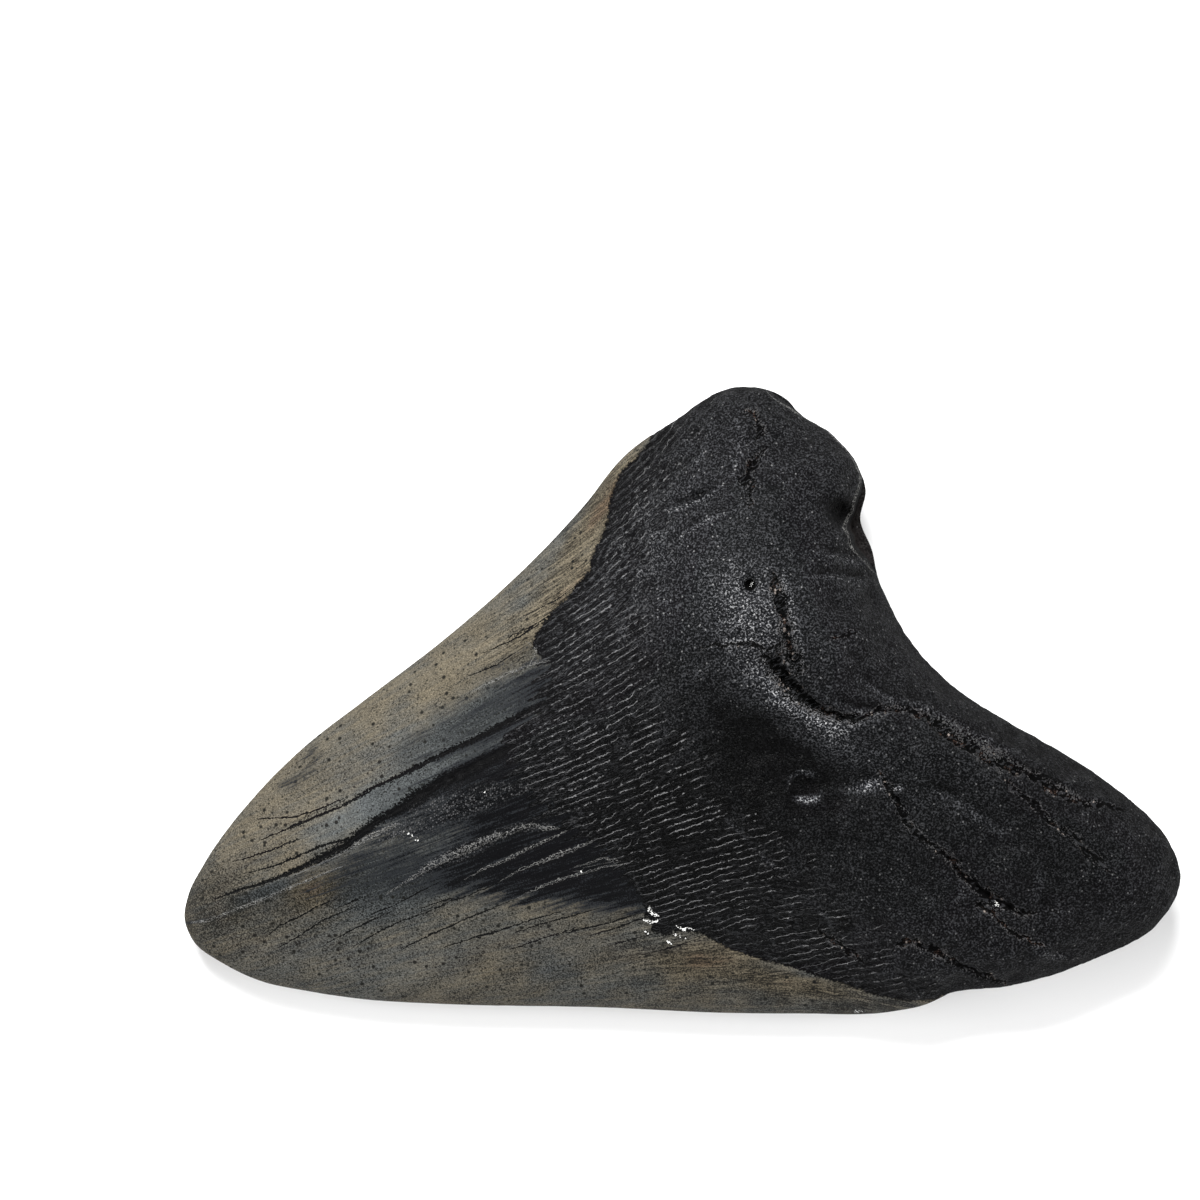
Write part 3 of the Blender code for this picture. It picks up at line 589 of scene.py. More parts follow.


# tones of the enamel: x, y, half widths, turn, then warmth and lightness; the lower side's darkness is
# partly its own colour and partly painted shade
tones = {
    "tip": (-69.0, -30.0, 7.0, 5.5, 30.0, 0.1, -0.60),
    "lowerSide": (-35.0, -38.0, 42.0, 9.0, 0.0, 0.0, -0.28),
    "lowerEnd": (8.0, -42.0, 22.0, 7.0, -5.0, -0.35, -0.22),
    "belowVein": (-52.0, -27.5, 11.0, 3.6, 20.0, -0.2, -0.48),
    "blueFade": (-30.0, -3.0, 13.0, 4.0, 30.0, -1.2, -0.35),
    "blueVein": (-38.0, -11.5, 11.0, 1.8, 27.0, -1.2, -0.25),
    "paleBand": (-49.0, -16.5, 7.0, 3.0, 25.0, -0.55, 0.30),
    "upperTan": (-36.0, 3.0, 30.0, 6.0, 42.0, 0.35, 0.14),
    "upperRim": (-15.0, 28.5, 10.0, 1.6, 54.0, -0.5, -0.25),
    "borderTan": (-16.0, 17.0, 14.0, 2.4, 48.0, 0.7, 0.05),
    "borderRust": (-11.5, 28.5, 8.0, 1.6, 56.0, 1.5, -0.10),
    "rustSpot": (-54.0, -27.4, 3.6, 2.0, 15.0, 1.6, 0.12),
    "rustLow": (3.0, -38.0, 7.0, 2.2, 0.0, 1.5, 0.0),
    "rustEnd": (17.0, -41.6, 8.0, 1.6, -8.0, 1.5, 0.0),
    "greyBand": (-60.5, -27.6, 5.5, 0.9, 23.0, -1.3, -0.35),
    "greyLow": (-40.0, -27.0, 11.0, 4.0, 22.0, -1.2, -0.45),
    "lowerRoot": (30.0, -44.5, 11.0, 2.6, 3.0, 0.0, -0.40),
    "upperMottle": (-49.0, -8.7, 7.0, 2.6, 30.0, -0.3, -0.20),
    "stripBlue": (-34.0, -9.3, 6.0, 1.1, 27.0, -1.0, 0.30),
    "lowPale": (-38.0, -38.0, 9.0, 4.0, 10.0, -0.2, 0.22),
}

# painted light and shade on the root, darker in hollows and lower parts and lighter on flanks, rims and
# pits: x, y, half widths, turn, and share of light added or taken
rootPaintedLight = {
    "hollow": (13.0, -6.5, 11.0, 7.0, -35.0, -0.88), "middle": (26.0, -20.0, 24.0, 12.0, -30.0, -0.48),
    "end": (55.0, -22.0, 16.0, 10.0, -30.0, -0.50), "basal": (42.0, -4.0, 20.0, 6.0, -30.0, -0.20),
    "dentine": (-9.0, 18.0, 16.0, 6.0, 62.0, 1.1), "pore": (9.5, 14.0, 8.0, 6.0, -50.0, 1.45),
    "flank": (11.5, 3.0, 6.0, 3.2, -45.0, 1.3),
    "rim": (21.0, -5.0, 6.0, 2.4, -25.0, 1.5), "pit": (27.0, -12.3, 2.6, 0.9, 10.0, 1.6),
    "dimple": (18.0, -13.9, 1.7, 0.5, 0.0, 2.0), "upper": (5.0, 32.0, 12.0, 14.0, 0.0, 0.10),
    "neckLow": (0.0, -18.0, 14.0, 13.0, 30.0, -0.60), "notch": (24.0, 27.5, 3.0, 2.0, -20.0, -0.8),
}

# painted highlights along the root's pit rims, flanks and edges: x, y, half width and share of light
rootHighlightLines = {
    "dimpleRim": [(16.0, -13.6, 0.3, 0.4), (17.2, -14.2, 0.45, 2.6), (18.6, -14.3, 0.45, 2.8),
                  (19.7, -13.7, 0.35, 1.6), (20.2, -12.6, 0.3, 0.4)],
    "dimpleTop": [(15.0, -12.6, 0.3, 0.8), (15.6, -10.8, 0.35, 1.6), (17.3, -9.9, 0.35, 1.9),
                  (19.1, -10.4, 0.3, 0.9)],
    "bigPit": [(24.6, -12.6, 0.4, 0.6), (26.0, -12.3, 0.5, 2.2), (27.6, -11.6, 0.5, 2.6),
               (28.8, -11.0, 0.4, 0.8)],
    "smallPit": [(30.4, -12.4, 0.25, 1.5), (31.3, -12.5, 0.3, 4.0), (32.0, -12.1, 0.25, 1.0)],
    "lowerPit": [(29.9, -14.8, 0.3, 1.0), (31.2, -15.1, 0.35, 2.0), (32.4, -15.6, 0.3, 0.8)],
    "topRim": [(7.6, 41.8, 0.3, 0.5), (8.6, 39.0, 0.4, 0.9), (8.2, 36.0, 0.4, 0.7),
               (7.4, 33.0, 0.3, 0.4)],
    "crackFlank": [(11.0, 4.2, 0.7, 1.2), (13.6, 0.6, 0.9, 2.2), (17.2, -1.9, 0.9, 2.2),
                   (21.0, -3.6, 0.9, 1.8), (24.6, -3.4, 0.7, 1.0), (28.0, -2.2, 0.5, 0.6)],
    "upperFlank": [(14.6, 18.6, 0.4, 0.8), (15.6, 14.6, 0.5, 1.0), (16.4, 10.0, 0.5, 0.9),
                   (17.6, 5.4, 0.4, 0.8)],
    "basalEdge": [(30.0, 0.8, 0.4, 0.6), (34.0, -0.2, 0.4, 1.0), (39.0, -2.4, 0.4, 1.0),
                  (45.0, -5.6, 0.4, 0.9), (52.0, -9.0, 0.3, 0.6)],
    "neckSeam": [(2.6, -13.5, 0.2, 0.3), (5.1, -15.5, 0.3, 0.9), (9.5, -20.2, 0.3, 1.1),
                 (14.0, -24.5, 0.3, 1.1), (18.0, -28.5, 0.25, 0.9), (21.0, -31.4, 0.25, 0.8),
                 (24.0, -35.0, 0.2, 0.3)],
    "footRim": [(52.0, -36.4, 0.3, 0.4), (54.4, -37.3, 0.4, 1.6), (56.4, -37.2, 0.3, 0.8)],
}
creaseShade = {"side": (0.25, -0.60), "dark": 2.6, "light": 3.8}    # share of light for each mm of depth
rootMottle = {"medium": 0.04, "broad": 0.06}

# the crown's black heart lies between two lines, which sway, and fades towards the tip
heart = {
    "upper": [(-68.0, -28.6), (-58.0, -24.8), (-49.6, -20.9), (-42.3, -15.7), (-35.6, -11.0),
              (-29.7, -8.2), (-24.5, -5.2), (-19.0, -1.5)],
    "lower": [(-68.0, -33.0), (-58.0, -30.0), (-49.6, -28.3), (-41.5, -27.2), (-34.0, -27.6),
              (-27.0, -28.2), (-20.0, -29.2), (-12.0, -29.8), (-4.0, -30.2)],
    "upperBlur": 1.0, "lowerBlur": 4.4, "upperSway": 0.3, "lowerSway": 0.25, "lowerStreak": 0.5,
    "fade": [(-66.0, 0.0), (-58.0, 0.10), (-50.0, 0.30), (-43.0, 0.42), (-38.0, 0.55), (-33.0, 0.90),
             (-28.0, 1.05)],
}

# soft black in the enamel: x, y, half width and strength
stains = {
    "broad": [(-22.0, -6.0, 2.2, 1.0), (-28.0, -8.8, 2.2, 1.0), (-33.0, -11.6, 1.8, 1.0),
              (-38.0, -14.6, 1.5, 0.9), (-42.5, -17.0, 1.1, 0.7), (-48.0, -20.6, 0.7, 0.6),
              (-53.0, -23.4, 0.4, 0.3)],
    "fine": [(-22.0, -1.5, 2.0, 0.9), (-26.0, -3.8, 1.5, 0.8), (-31.0, -6.3, 1.0, 0.6),
             (-36.0, -8.6, 0.6, 0.4)],
    "brow": [(-20.5, 3.0, 3.4, 0.80), (-24.0, 1.2, 3.0, 0.52), (-28.0, -0.4, 2.6, 0.34),
             (-34.0, -3.6, 2.4, 0.22), (-41.0, -7.6, 2.0, 0.14)],
    "ridges": [(-24.0, -23.5, 2.2, 1.0), (-30.0, -24.6, 2.0, 0.8), (-36.0, -26.2, 1.4, 0.5),
               (-42.0, -28.0, 1.0, 0.2)],
    "blotches": [(-54.1, -6.8, 0.7, 0.3), (-54.3, -9.2, 0.8, 0.3), (-58.3, -12.4, 0.6, 0.25)],
    "tipLine": [(-72.8, -32.6, 0.3, 0.6), (-70.6, -32.4, 0.4, 0.5), (-68.8, -31.8, 0.3, 0.2)],
}
stainDrift = (0.5, 0.4)    # in x by the streaks, in y by the bands
bluePatch = (-33.5, -19.6, 5.2, 1.5, 26.0, 0.45)    # less black: x, y, half widths, turn and strength

# thin dark splits of the enamel: x and y of their points, right to left
lineReach = 50.0    # a line further off than this many half widths is at this measure
splits = {
    "halfWidth": 0.10, "endWidth": 0.04, "reach": 0.5, "sway": 0.05,
    "runs": [
        [(-50.4, -28.8), (-53.6, -30.1), (-56.3, -31.7), (-59.2, -33.0), (-61.9, -35.3)],
        [(-47.4, -29.9), (-50.4, -31.1), (-53.0, -32.3), (-56.3, -34.5), (-59.2, -36.1)],
        [(-42.3, -30.7), (-45.2, -31.9), (-48.9, -33.8), (-52.1, -35.5)],
        [(-34.1, -29.4), (-37.8, -31.0), (-41.5, -32.3), (-44.5, -33.8), (-48.2, -36.0)],
        [(-31.9, -32.2), (-35.6, -33.5), (-38.6, -35.0), (-41.1, -36.4)],
        [(-25.0, -29.1), (-29.7, -31.0), (-33.4, -32.6), (-37.1, -34.4), (-40.8, -36.0)],
        [(-41.5, -29.5), (-43.7, -30.4), (-45.9, -31.4)],
        [(-17.9, -30.7), (-22.3, -32.0), (-26.8, -33.5), (-31.2, -34.8), (-34.9, -36.1)],
        [(-12.0, -30.1), (-16.4, -31.4), (-20.9, -32.6), (-24.6, -33.9)],
        [(-6.1, -30.8), (-10.5, -32.3), (-15.0, -33.3), (-18.7, -34.4)],
        [(-3.2, -31.1), (-6.1, -31.7), (-9.8, -33.2), (-13.5, -34.2)],
        [(-23.8, -32.6), (-27.5, -33.8), (-31.2, -35.0)],
        [(-15.0, -33.0), (-18.7, -34.1), (-22.3, -35.4), (-25.3, -36.4)],
        [(-31.2, -28.3), (-34.9, -29.1), (-38.6, -30.4)],
        [(-26.8, -26.4), (-31.2, -28.3), (-34.9, -29.5)],
        [(-3.2, -33.8), (-7.6, -34.8), (-10.5, -35.7)],
        [(2.7, -34.5), (-1.7, -36.0), (-5.4, -37.0)],
        [(-35.6, -26.4), (-39.3, -28.3), (-42.7, -30.1)],
        [(-45.9, -28.3), (-48.6, -29.4), (-50.4, -30.2)],
        [(-24.0, 7.4), (-27.2, 5.4), (-31.0, 3.8)],
        [(-17.0, 14.4), (-21.0, 11.6), (-25.5, 9.4)],
        [(-14.6, 17.6), (-18.6, 14.8), (-23.0, 12.6)],
        [(-19.5, 12.3), (-24.0, 9.4), (-29.0, 7.2)],
    ],
}

chipPower = 3.0    # how sharply a break ends

# small white breaks, and a painted glint in the pore: x, y, half width and strength
chips = {
    "cluster": [(-4.9, -29.8, 0.21, 0.80), (-4.6, -30.9, 0.30, 0.80), (-3.6, -31.4, 0.22, 0.72)],
    "clusterLow": [(-5.6, -31.9, 0.19, 0.72), (-4.4, -32.3, 0.26, 0.80), (-3.4, -32.0, 0.15, 0.72)],
    "clusterEnd": [(-5.4, -33.4, 0.19, 0.77), (-4.9, -34.0, 0.15, 0.68)],
    "speck": [(-2.1, -35.0, 0.16, 1.0), (-1.6, -35.5, 0.16, 1.0)],
    "wing": [(-0.9, -32.9, 0.13, 0.77), (0.2, -33.4, 0.24, 0.85), (1.1, -33.2, 0.16, 0.85),
             (1.6, -33.6, 0.15, 0.68)],
    "wingTail": [(-1.2, -34.0, 0.15, 0.9), (0.6, -34.6, 0.12, 0.7)],
    "run": [(-41.2, -18.9, 0.15, 0.5), (-39.8, -19.3, 0.20, 0.6), (-38.8, -20.1, 0.22, 0.65),
            (-38.3, -20.6, 0.18, 0.5)],
    "crumb": [(-28.9, -12.9, 0.16, 0.9), (-28.5, -13.0, 0.15, 0.8)],
    "edge": [(25.6, -45.7, 0.22, 0.6), (27.0, -45.8, 0.18, 0.5)],
    "dot": [(-14.8, -24.6, 0.15, 0.72), (-14.6, -25.0, 0.15, 0.72)],
    "crackFleck": [(45.5, -29.5, 0.16, 0.8), (46.2, -29.8, 0.20, 0.9)],
    # a painted glint in the foramen
    "pore": [(9.7, 16.9, 0.10, 1.0), (9.8, 17.2, 0.10, 0.9)],
}


def tapered(run):
    # the run's points with a half width that is least at both ends
    widths = [splits["endWidth"]] + [splits["halfWidth"]] * (len(run) - 2) + [splits["endWidth"]]
    return [(*point, width) for point, width in zip(run, widths)]


def nearestLine(lines, x, y):
    # signed distance over half width for the line whose edge is nearest, and how near that edge is
    best = np.full(x.shape, farOff)
    measure = np.full(x.shape, lineReach)
    for line in lines:
        gap, values = nearestOn(line, x, y)
        width = np.maximum(values[..., 0], leastLine)
        closer = gap - width < best
        best = np.where(closer, gap - width, best)
        sign = np.sign(sideOf([point[:2] for point in line], x, y))
        measure = np.where(closer, sign * gap / width, measure)
    return np.clip(measure, -lineReach, lineReach), np.exp(-(np.maximum(best, 0.0) / splits["reach"]) ** 2)


def lingualTones(x, y):
    # sums of the tones' mounds; the strongest stain less the smooth patch; nearest dark lines and painted
    # highlight lines
    spots = [(mound((*spec[:5], 1.0), x, y), spec) for spec in tones.values()]
    warmth = sum(spec[5] * spot for spot, spec in spots)
    light = sum(spec[6] * spot for spot, spec in spots)
    # painted light and shade of the root, from its spots
    rootLight = sum(mound(spec, x, y) for spec in rootPaintedLight.values())
    # painted shade in the creases, and painted light on their lower lips
    sideX, sideY = creaseShade["side"]
    rootLight -= creaseShade["dark"] * strokes(creases, x, y)
    rootLight += creaseShade["light"] * strokes(creases, x - sideX, y - sideY)
    # painted highlights along rims, flanks and edges
    rootLight += strokes(rootHighlightLines.values(), x, y)
    rootLight += sum(share * read(name, x, y) for name, share in rootMottle.items())
    streak, band = read("streak", x, y), read("band", x, y)
    below = -sideOf(heart["upper"], x, y + heart["upperSway"] * band)
    above = sideOf(heart["lower"], x, y + heart["lowerSway"] * band + heart["lowerStreak"] * streak)
    places, strengths = np.array(heart["fade"]).T
    stain = smoothStep(below / heart["upperBlur"] + 0.5) * smoothStep(above / heart["lowerBlur"] + 0.5)
    stain *= np.interp(x, places, strengths)
    driftX, driftY = stainDrift
    stain = np.maximum(stain, strokes(stains.values(), x + driftX * streak, y + driftY * band))
    stain -= mound(bluePatch, x, y)
    swayY = y + splits["sway"] * read("small", x, y)
    dark, darkNear = nearestLine([*map(tapered, splits["runs"]), *grooves.values()], x, swayY)
    # painted highlight lines along the ridges and the lip's edge
    paintedHighlight, paintedHighlightNear = nearestLine([*ridges.values(), lip["edge"]], x, swayY)
    return {"warmth": warmth, "light": light, "rootLight": rootLight, "stain": np.clip(stain, 0.0, 1.0),
            "dark": dark, "darkNear": darkNear, "paintedHighlight": paintedHighlight, "paintedHighlightNear": paintedHighlightNear,
            "chipAndPoreGlint": strokes(chips.values(), x, y, chipPower), "band": band}


# the face that lies down: relief, pits as x, y, half widths, turn and depth, cracks, and lines
labial = {
    "rootBroad": 0.12, "rootMedium": 0.06, "rootSmall": 0.03, "enamelBroad": 0.03, "enamelStreak": 0.012,
    "ragged": 0.3, "warp": 0.3, "sway": 0.08, "drift": 0.6, "rimFade": 1.5, "wrinkle": 0.3,
    "warmthSway": 0.35, "light": -0.12, "lightSway": 0.05, "rootSway": 0.1, "neckPlace": 3.0,
    "noHole": -5.0, "noFold": 3.0,
    "pits": [(20.0, 9.0, 1.1, 0.8, 20.0, 1.2), (27.0, -4.0, 0.9, 0.9, 0.0, 1.0),
             (13.0, 24.0, 0.9, 0.7, 40.0, 0.9), (34.0, -15.0, 1.2, 0.7, -30.0, 1.0),
             (24.0, 2.0, 0.6, 0.6, 0.0, 0.7), (45.0, -27.0, 0.8, 0.6, 0.0, 0.7)],
    "cracks": [[(8.0, 36.0, 0.3, 0.3), (10.0, 30.0, 0.5, 0.6), (9.0, 24.0, 0.5, 0.6),
                (11.0, 17.0, 0.3, 0.3)],
               [(24.0, -14.0, 0.3, 0.3), (32.0, -18.0, 0.5, 0.7), (41.0, -20.0, 0.5, 0.6),
                (50.0, -25.0, 0.3, 0.3)],
               [(36.0, -30.0, 0.3, 0.3), (44.0, -34.0, 0.4, 0.5), (53.0, -35.0, 0.2, 0.2)]],
    "splits": [[(2.0, 8.0, 0.04), (-20.0, -1.0, 0.14), (-42.0, -13.0, 0.04)],
               [(4.0, -6.0, 0.04), (-18.0, -14.0, 0.16), (-46.0, -27.0, 0.04)],
               [(9.0, -18.0, 0.04), (-10.0, -24.0, 0.14), (-34.0, -33.0, 0.04)],
               [(-2.0, 18.0, 0.04), (-14.0, 12.0, 0.12), (-28.0, 3.0, 0.04)],
               [(-30.0, -20.0, 0.04), (-44.0, -27.0, 0.12), (-60.0, -34.0, 0.04)],
               [(16.0, -30.0, 0.04), (2.0, -34.0, 0.12), (-14.0, -38.0, 0.04)]],
    "stains": [[(0.0, 34.0, 2.0, 0.8), (2.0, 14.0, 2.6, 0.9), (7.0, -6.0, 3.0, 0.9),
                (18.0, -27.0, 2.4, 0.9), (33.0, -42.0, 1.6, 0.7)],
               [(3.0, 5.0, 1.6, 0.8), (-16.0, -6.0, 1.2, 0.55), (-38.0, -18.0, 0.8, 0.25)],
               [(6.0, -12.0, 2.0, 0.8), (-12.0, -20.0, 1.4, 0.5), (-34.0, -29.0, 0.7, 0.2)]],
}


def labialRelief(x, y, inset, border):
    # streak and band as on the other face; the rest is read from the far side of the raster,
    # so the two faces differ
    def field(name):
        return read(name, -x, -y)

    enamel = -border + labial["ragged"] * field("medium")
    onRoot = smoothStep(0.5 - enamel)
    height = sum(onRoot * labial["root" + name] * field(name.lower())
                 for name in ("Broad", "Medium", "Small"))
    streak, band = read("streak", x, y), read("band", x, y)
    height += (1.0 - onRoot) * labial["enamelBroad"] * field("broad")
    height += (1.0 - onRoot) * labial["enamelStreak"] * streak
    bentX = x + labial["warp"] * field("warpX")
    bentY = y + labial["warp"] * field("warpY")
    pits = [mound(pit, x, y) for pit in labial["pits"]]
    height -= np.maximum.reduce([strokes(labial["cracks"], bentX, bentY), *pits])
    inCrack, crackNear = nearestLine(labial["cracks"], bentX, bentY)
    dark, darkNear = nearestLine(labial["splits"], x, y + labial["sway"] * field("small"))
    stain = strokes(labial["stains"], x + labial["drift"] * streak, y)
    none = np.zeros(x.shape)
    values = {"enamel": enamel, "neck": labial["neckPlace"] - enamel, "crack": inCrack,
              "crackNear": crackNear, "crumb": none, "hole": none + labial["noHole"],
              "fold": none + labial["noFold"], "foldFall": none,
              "wrinkle": onRoot * labial["wrinkle"] * field("small"), "warmth": labial["warmthSway"] * band,
              "light": labial["light"] + labial["lightSway"] * field("wide"),
              "rootLight": labial["rootSway"] * field("wide"),
              "stain": np.clip(stain, 0.0, 1.0), "dark": dark, "darkNear": darkNear,
              "paintedHighlight": none + lineReach, "paintedHighlightNear": none, "chipAndPoreGlint": none, "band": band,
              "wall": none, "steep": none}
    return height * rimShare(inset, labial["rimFade"]), values


# the grid: cells along and across, and their closeness at shares of each way
sheet = {
    "lengthwise": 300, "crosswise": 256,
    "lengthwiseCrowd": [(0.0, 2.0), (0.05, 1.0), (0.30, 0.75), (0.40, 1.2), (0.55, 1.3), (0.80, 1.0),
                        (0.95, 1.1), (1.0, 2.0)],
    "crosswiseCrowd": [(0.0, 2.0), (0.06, 1.0), (0.94, 1.0), (1.0, 2.0)],
}


def crowd(count, closeness):
    # shares whose spacing is inverse to the closeness at each share
    even = np.linspace(0.0, 1.0, 401)
    places, weights = np.array(closeness).T
    total = np.concatenate([[0.0], np.cumsum(np.interp(0.5 * (even[1:] + even[:-1]), places, weights))])
    return np.interp(np.arange(count + 1) / count, total / total[-1], even)


def normalsOf(place):
    # cross product of the grid's two differences, to unit length
    alongU = np.gradient(place, axis=0)
    alongV = np.gradient(place, axis=1)
    normal = np.cross(alongU, alongV)
    return normal / np.maximum(np.linalg.norm(normal, axis=-1, keepdims=True), 1.0e-9)


def gridPlaces(ring, sides, stride):
    # x and y of the grid's points, and how far inside the outline they are
    shares = [crowd(sheet[way], sheet[way + "Crowd"])[::stride] for way in ("lengthwise", "crosswise")]
    place = fillOutline(*shares, sides)
    x, y = place[..., 0], place[..., 1]
    inset, _ = nearestOn(ring, x, y)
    inset[[0, -1], :] = 0.0
    inset[:, [0, -1]] = 0.0
    return x, y, inset


def lingualSheet(ring, sides):
    x, y, inset = gridPlaces(ring, sides, 1)
    height, edge = lingualForm(x, y, inset)
    outside = sideOf(lip["line"], x, y)
    wall = smoothStep(outside / lip["width"]) * np.exp(-(outside / lip["reach"]) ** 2)
    startX, startY = lip["start"]
    wall *= smoothStep((x - startX) / lip["blend"]) * smoothStep((y - startY) / lip["blend"])
    height -= wall * (lip["drop"] + lip["roughness"] * read("small", x, y))
    surface = np.dstack([x, y, np.maximum(height, edge)])
    detail, values = lingualRelief(x, y, inset)
    values.update(lingualTones(x, y))
    values.update(wall=wall, steep=np.clip(1.0 - normalsOf(surface)[..., 2], 0.0, 1.0))
    return surface + normalsOf(surface) * detail[..., None], values


def labialSheet(ring, sides):
    x, y, inset = gridPlaces(ring, sides, 2)
    height, border = labialForm(x, y, inset)
    surface = np.dstack([x, y, height])
    detail, values = labialRelief(x, y, inset, border)
    lifted = surface - normalsOf(surface) * detail[..., None]
    lifted[..., 2] = np.maximum(lifted[..., 2], 0.0)
    return lifted, values


def joinSheets(top, bottom):
    # one closed mesh: the lower sheet has half the columns and rows and shares the rim,
    # so its rim cells take in the upper sheet's points between theirs
    nu, nv = top.shape[0] - 1, top.shape[1] - 1
    mu, mv = nu // 2, nv // 2
    upper = np.arange((nu + 1) * (nv + 1)).reshape(nu + 1, nv + 1)
    lower = upper[::2, ::2].copy()
    inner = np.arange((mu - 1) * (mv - 1)).reshape(mu - 1, mv - 1) + upper.size
    lower[1:-1, 1:-1] = inner
    points = np.vstack([top.reshape(-1, 3), bottom[1:-1, 1:-1].reshape(-1, 3)])
    quads = np.stack([upper[:-1, :-1], upper[1:, :-1], upper[1:, 1:], upper[:-1, 1:]],
                     axis=-1).reshape(-1, 4)
    cells = np.full((mu, mv, 8), -1)
    cells[..., 0] = lower[:-1, :-1]
    cells[..., 2] = lower[:-1, 1:]
    cells[..., 4] = lower[1:, 1:]
    cells[..., 6] = lower[1:, :-1]
    cells[0, :, 1] = upper[0, 1::2]
    cells[:, -1, 3] = upper[1::2, -1]
    cells[-1, :, 5] = upper[-1, 1::2]
    cells[:, 0, 7] = upper[1::2, 0]
    cells = cells.reshape(-1, 8)
    loops = np.concatenate([quads.ravel(), cells[cells >= 0]])
    counts = np.concatenate([np.full(len(quads), 4), (cells >= 0).sum(axis=1)])
    return points, loops, counts


def buildTooth():
    ring, sides = outlineSides()
    top, topValues = lingualSheet(ring, sides)
    bottom, bottomValues = labialSheet(ring, sides)
    print("tooth: surfaces worked out")
    points, loops, counts = joinSheets(top, bottom)
    mesh = bpy.data.meshes.new("toothSkin")
    mesh.vertices.add(len(points))
    mesh.vertices.foreach_set("co", (points * mm).ravel())
    mesh.loops.add(len(loops))
    mesh.loops.foreach_set("vertex_index", loops)
    mesh.polygons.add(len(counts))
    mesh.polygons.foreach_set("loop_start", np.concatenate([[0], np.cumsum(counts)[:-1]]))
    mesh.update(calc_edges=True)
    mesh.validate()
    mesh.shade_smooth()
    for name, value in topValues.items():
        layer = mesh.attributes.new(name, "FLOAT", "POINT")
        layer.data.foreach_set("value", np.concatenate([value.ravel(),
                                                        bottomValues[name][1:-1, 1:-1].ravel()]))
    flow = fibreFlow(points)
    uv = mesh.uv_layers.new(name="fibres")
    uv.data.foreach_set("uv", flow[loops].ravel())
    tooth = bpy.data.objects.new("toothSkin", mesh)
    bpy.context.scene.collection.objects.link(tooth)
    print("tooth: mesh of", len(points), "points")
    return tooth


def fibreFlow(points):
    # across the fibres: y - (lean x - bend x^2 + spread x y), carried on down the sides by the depth
    # below the rim times tanh(across / turnover); along them: a plain slant
    x, y, z = points.T
    across = y - (fibres["lean"] * x - fibres["bend"] * x ** 2 + fibres["spread"] * x * y)
    across -= np.tanh(across / fibres["turnover"]) * np.minimum(z - fibres["rimHeight"], 0.0)
    slantX, slantY = fibres["lengthwise"]
    return np.stack([slantX * x + slantY * y, across], axis=-1)


# the tooth's colours and surface
finish = {
    "tan": (0.076, 0.065, 0.046), "grey": (0.050, 0.0545, 0.0550), "rust": (0.066, 0.044, 0.028),
    "speck": (0.006, 0.006, 0.005), "stainBlue": (0.0130, 0.0145, 0.0165),
    "stainBlack": (0.0020, 0.0021, 0.0026),
    "dentine": (0.0010, 0.0010, 0.0012), "wrinkleHighlight": (0.0220, 0.0220, 0.0230),
    "foldHighlight": (0.150, 0.150, 0.152),
    "root": (0.0012, 0.0013, 0.0016), "rootWornAndGlint": (0.0370, 0.0380, 0.0410),
    "rootGlint": (0.14, 0.14, 0.14),
    "crackDark": (0.0010, 0.0010, 0.0010), "crackDirt": (0.040, 0.024, 0.018),
    "crackGlint": (0.22, 0.19, 0.17),
    "crackLipHighlight": (0.080, 0.078, 0.078),
    "wall": (0.0130, 0.0110, 0.0105), "chipAndPoreGlint": (0.62, 0.62, 0.60), "crumbLight": (0.095, 0.095, 0.097),
    "highlightGrey": (0.155, 0.154, 0.148), "split": (0.0020, 0.0020, 0.0022),
    "enamelRoughness": 0.44, "rootRoughness": 0.42, "crackRoughness": 0.75, "specular": 0.045,
}

# noises: waves a metre, or a millimetre along and across the fibres; then detail and roughness
noises = {
    "patch": (80.0, 3.0, 0.5), "mottle": (330.0, 3.0, 0.55), "leather": (3500.0, 0.6, 0.5),
    "grain": (5200.0, 0.0, 0.5), "rasp": ((1.5, 3.6), 0.5, 0.5), "hide": (1900.0, 0.5, 0.5),
    "skein": ((0.7, 2.2), 0.5, 0.5), "streak": ((0.10, 1.1), 4.0, 0.6), "ripple": ((0.26, 1.25), 2.0, 0.5),
    "hair": ((0.20, 2.2), 2.0, 0.5),
}
scatters = {"crumbs": 3300.0, "pepper": 1500.0, "specks": 640.0, "glints": 1150.0}    # points a metre


material = bpy.data.materials.new("fossilTooth")
material.use_nodes = True
tree = material.node_tree
tree.nodes.clear()
waves = {}
grains = {}


def signal(value):
    # a wave or one of the mesh's values by its name; anything else stays as it is
    if not isinstance(value, str):
        return value
    if value in waves:
        return waves[value]
    return put("Attribute", attribute_type="GEOMETRY", attribute_name=value).outputs["Fac"]


def put(kind, inputs=None, **settings):
    # a node; sockets are given by name or number, as values, links or names
    node = tree.nodes.new("ShaderNode" + kind)
    for name, value in settings.items():
        setattr(node, name, value)
    for name, value in (inputs or {}).items():
        value = signal(value)
        if isinstance(value, bpy.types.NodeSocket):
            tree.links.new(value, node.inputs[name])
        else:
            node.inputs[name].default_value = value
    return node


def reckon(operation, *terms):
    # the operation along the terms, two at a time
    result = terms[0]
    for term in terms[1:]:
        result = put("Math", {0: result, 1: term}, operation=operation).outputs[0]
    return result


def plus(*terms):
    return reckon("ADD", *terms)


def times(*terms):
    return reckon("MULTIPLY", *terms)


def absolute(value):
    return reckon("ABSOLUTE", value, 0.0)


def sway(wave, size):
    # size * (wave - 0.5)
    return put("Math", {0: wave, 1: size, 2: -0.5 * size}, operation="MULTIPLY_ADD").outputs[0]


def stirred(*terms, **sizes):
    # the sum of the terms and of each named wave's sway
    return plus(*terms, *(sway(name, size) for name, size in sizes.items()))


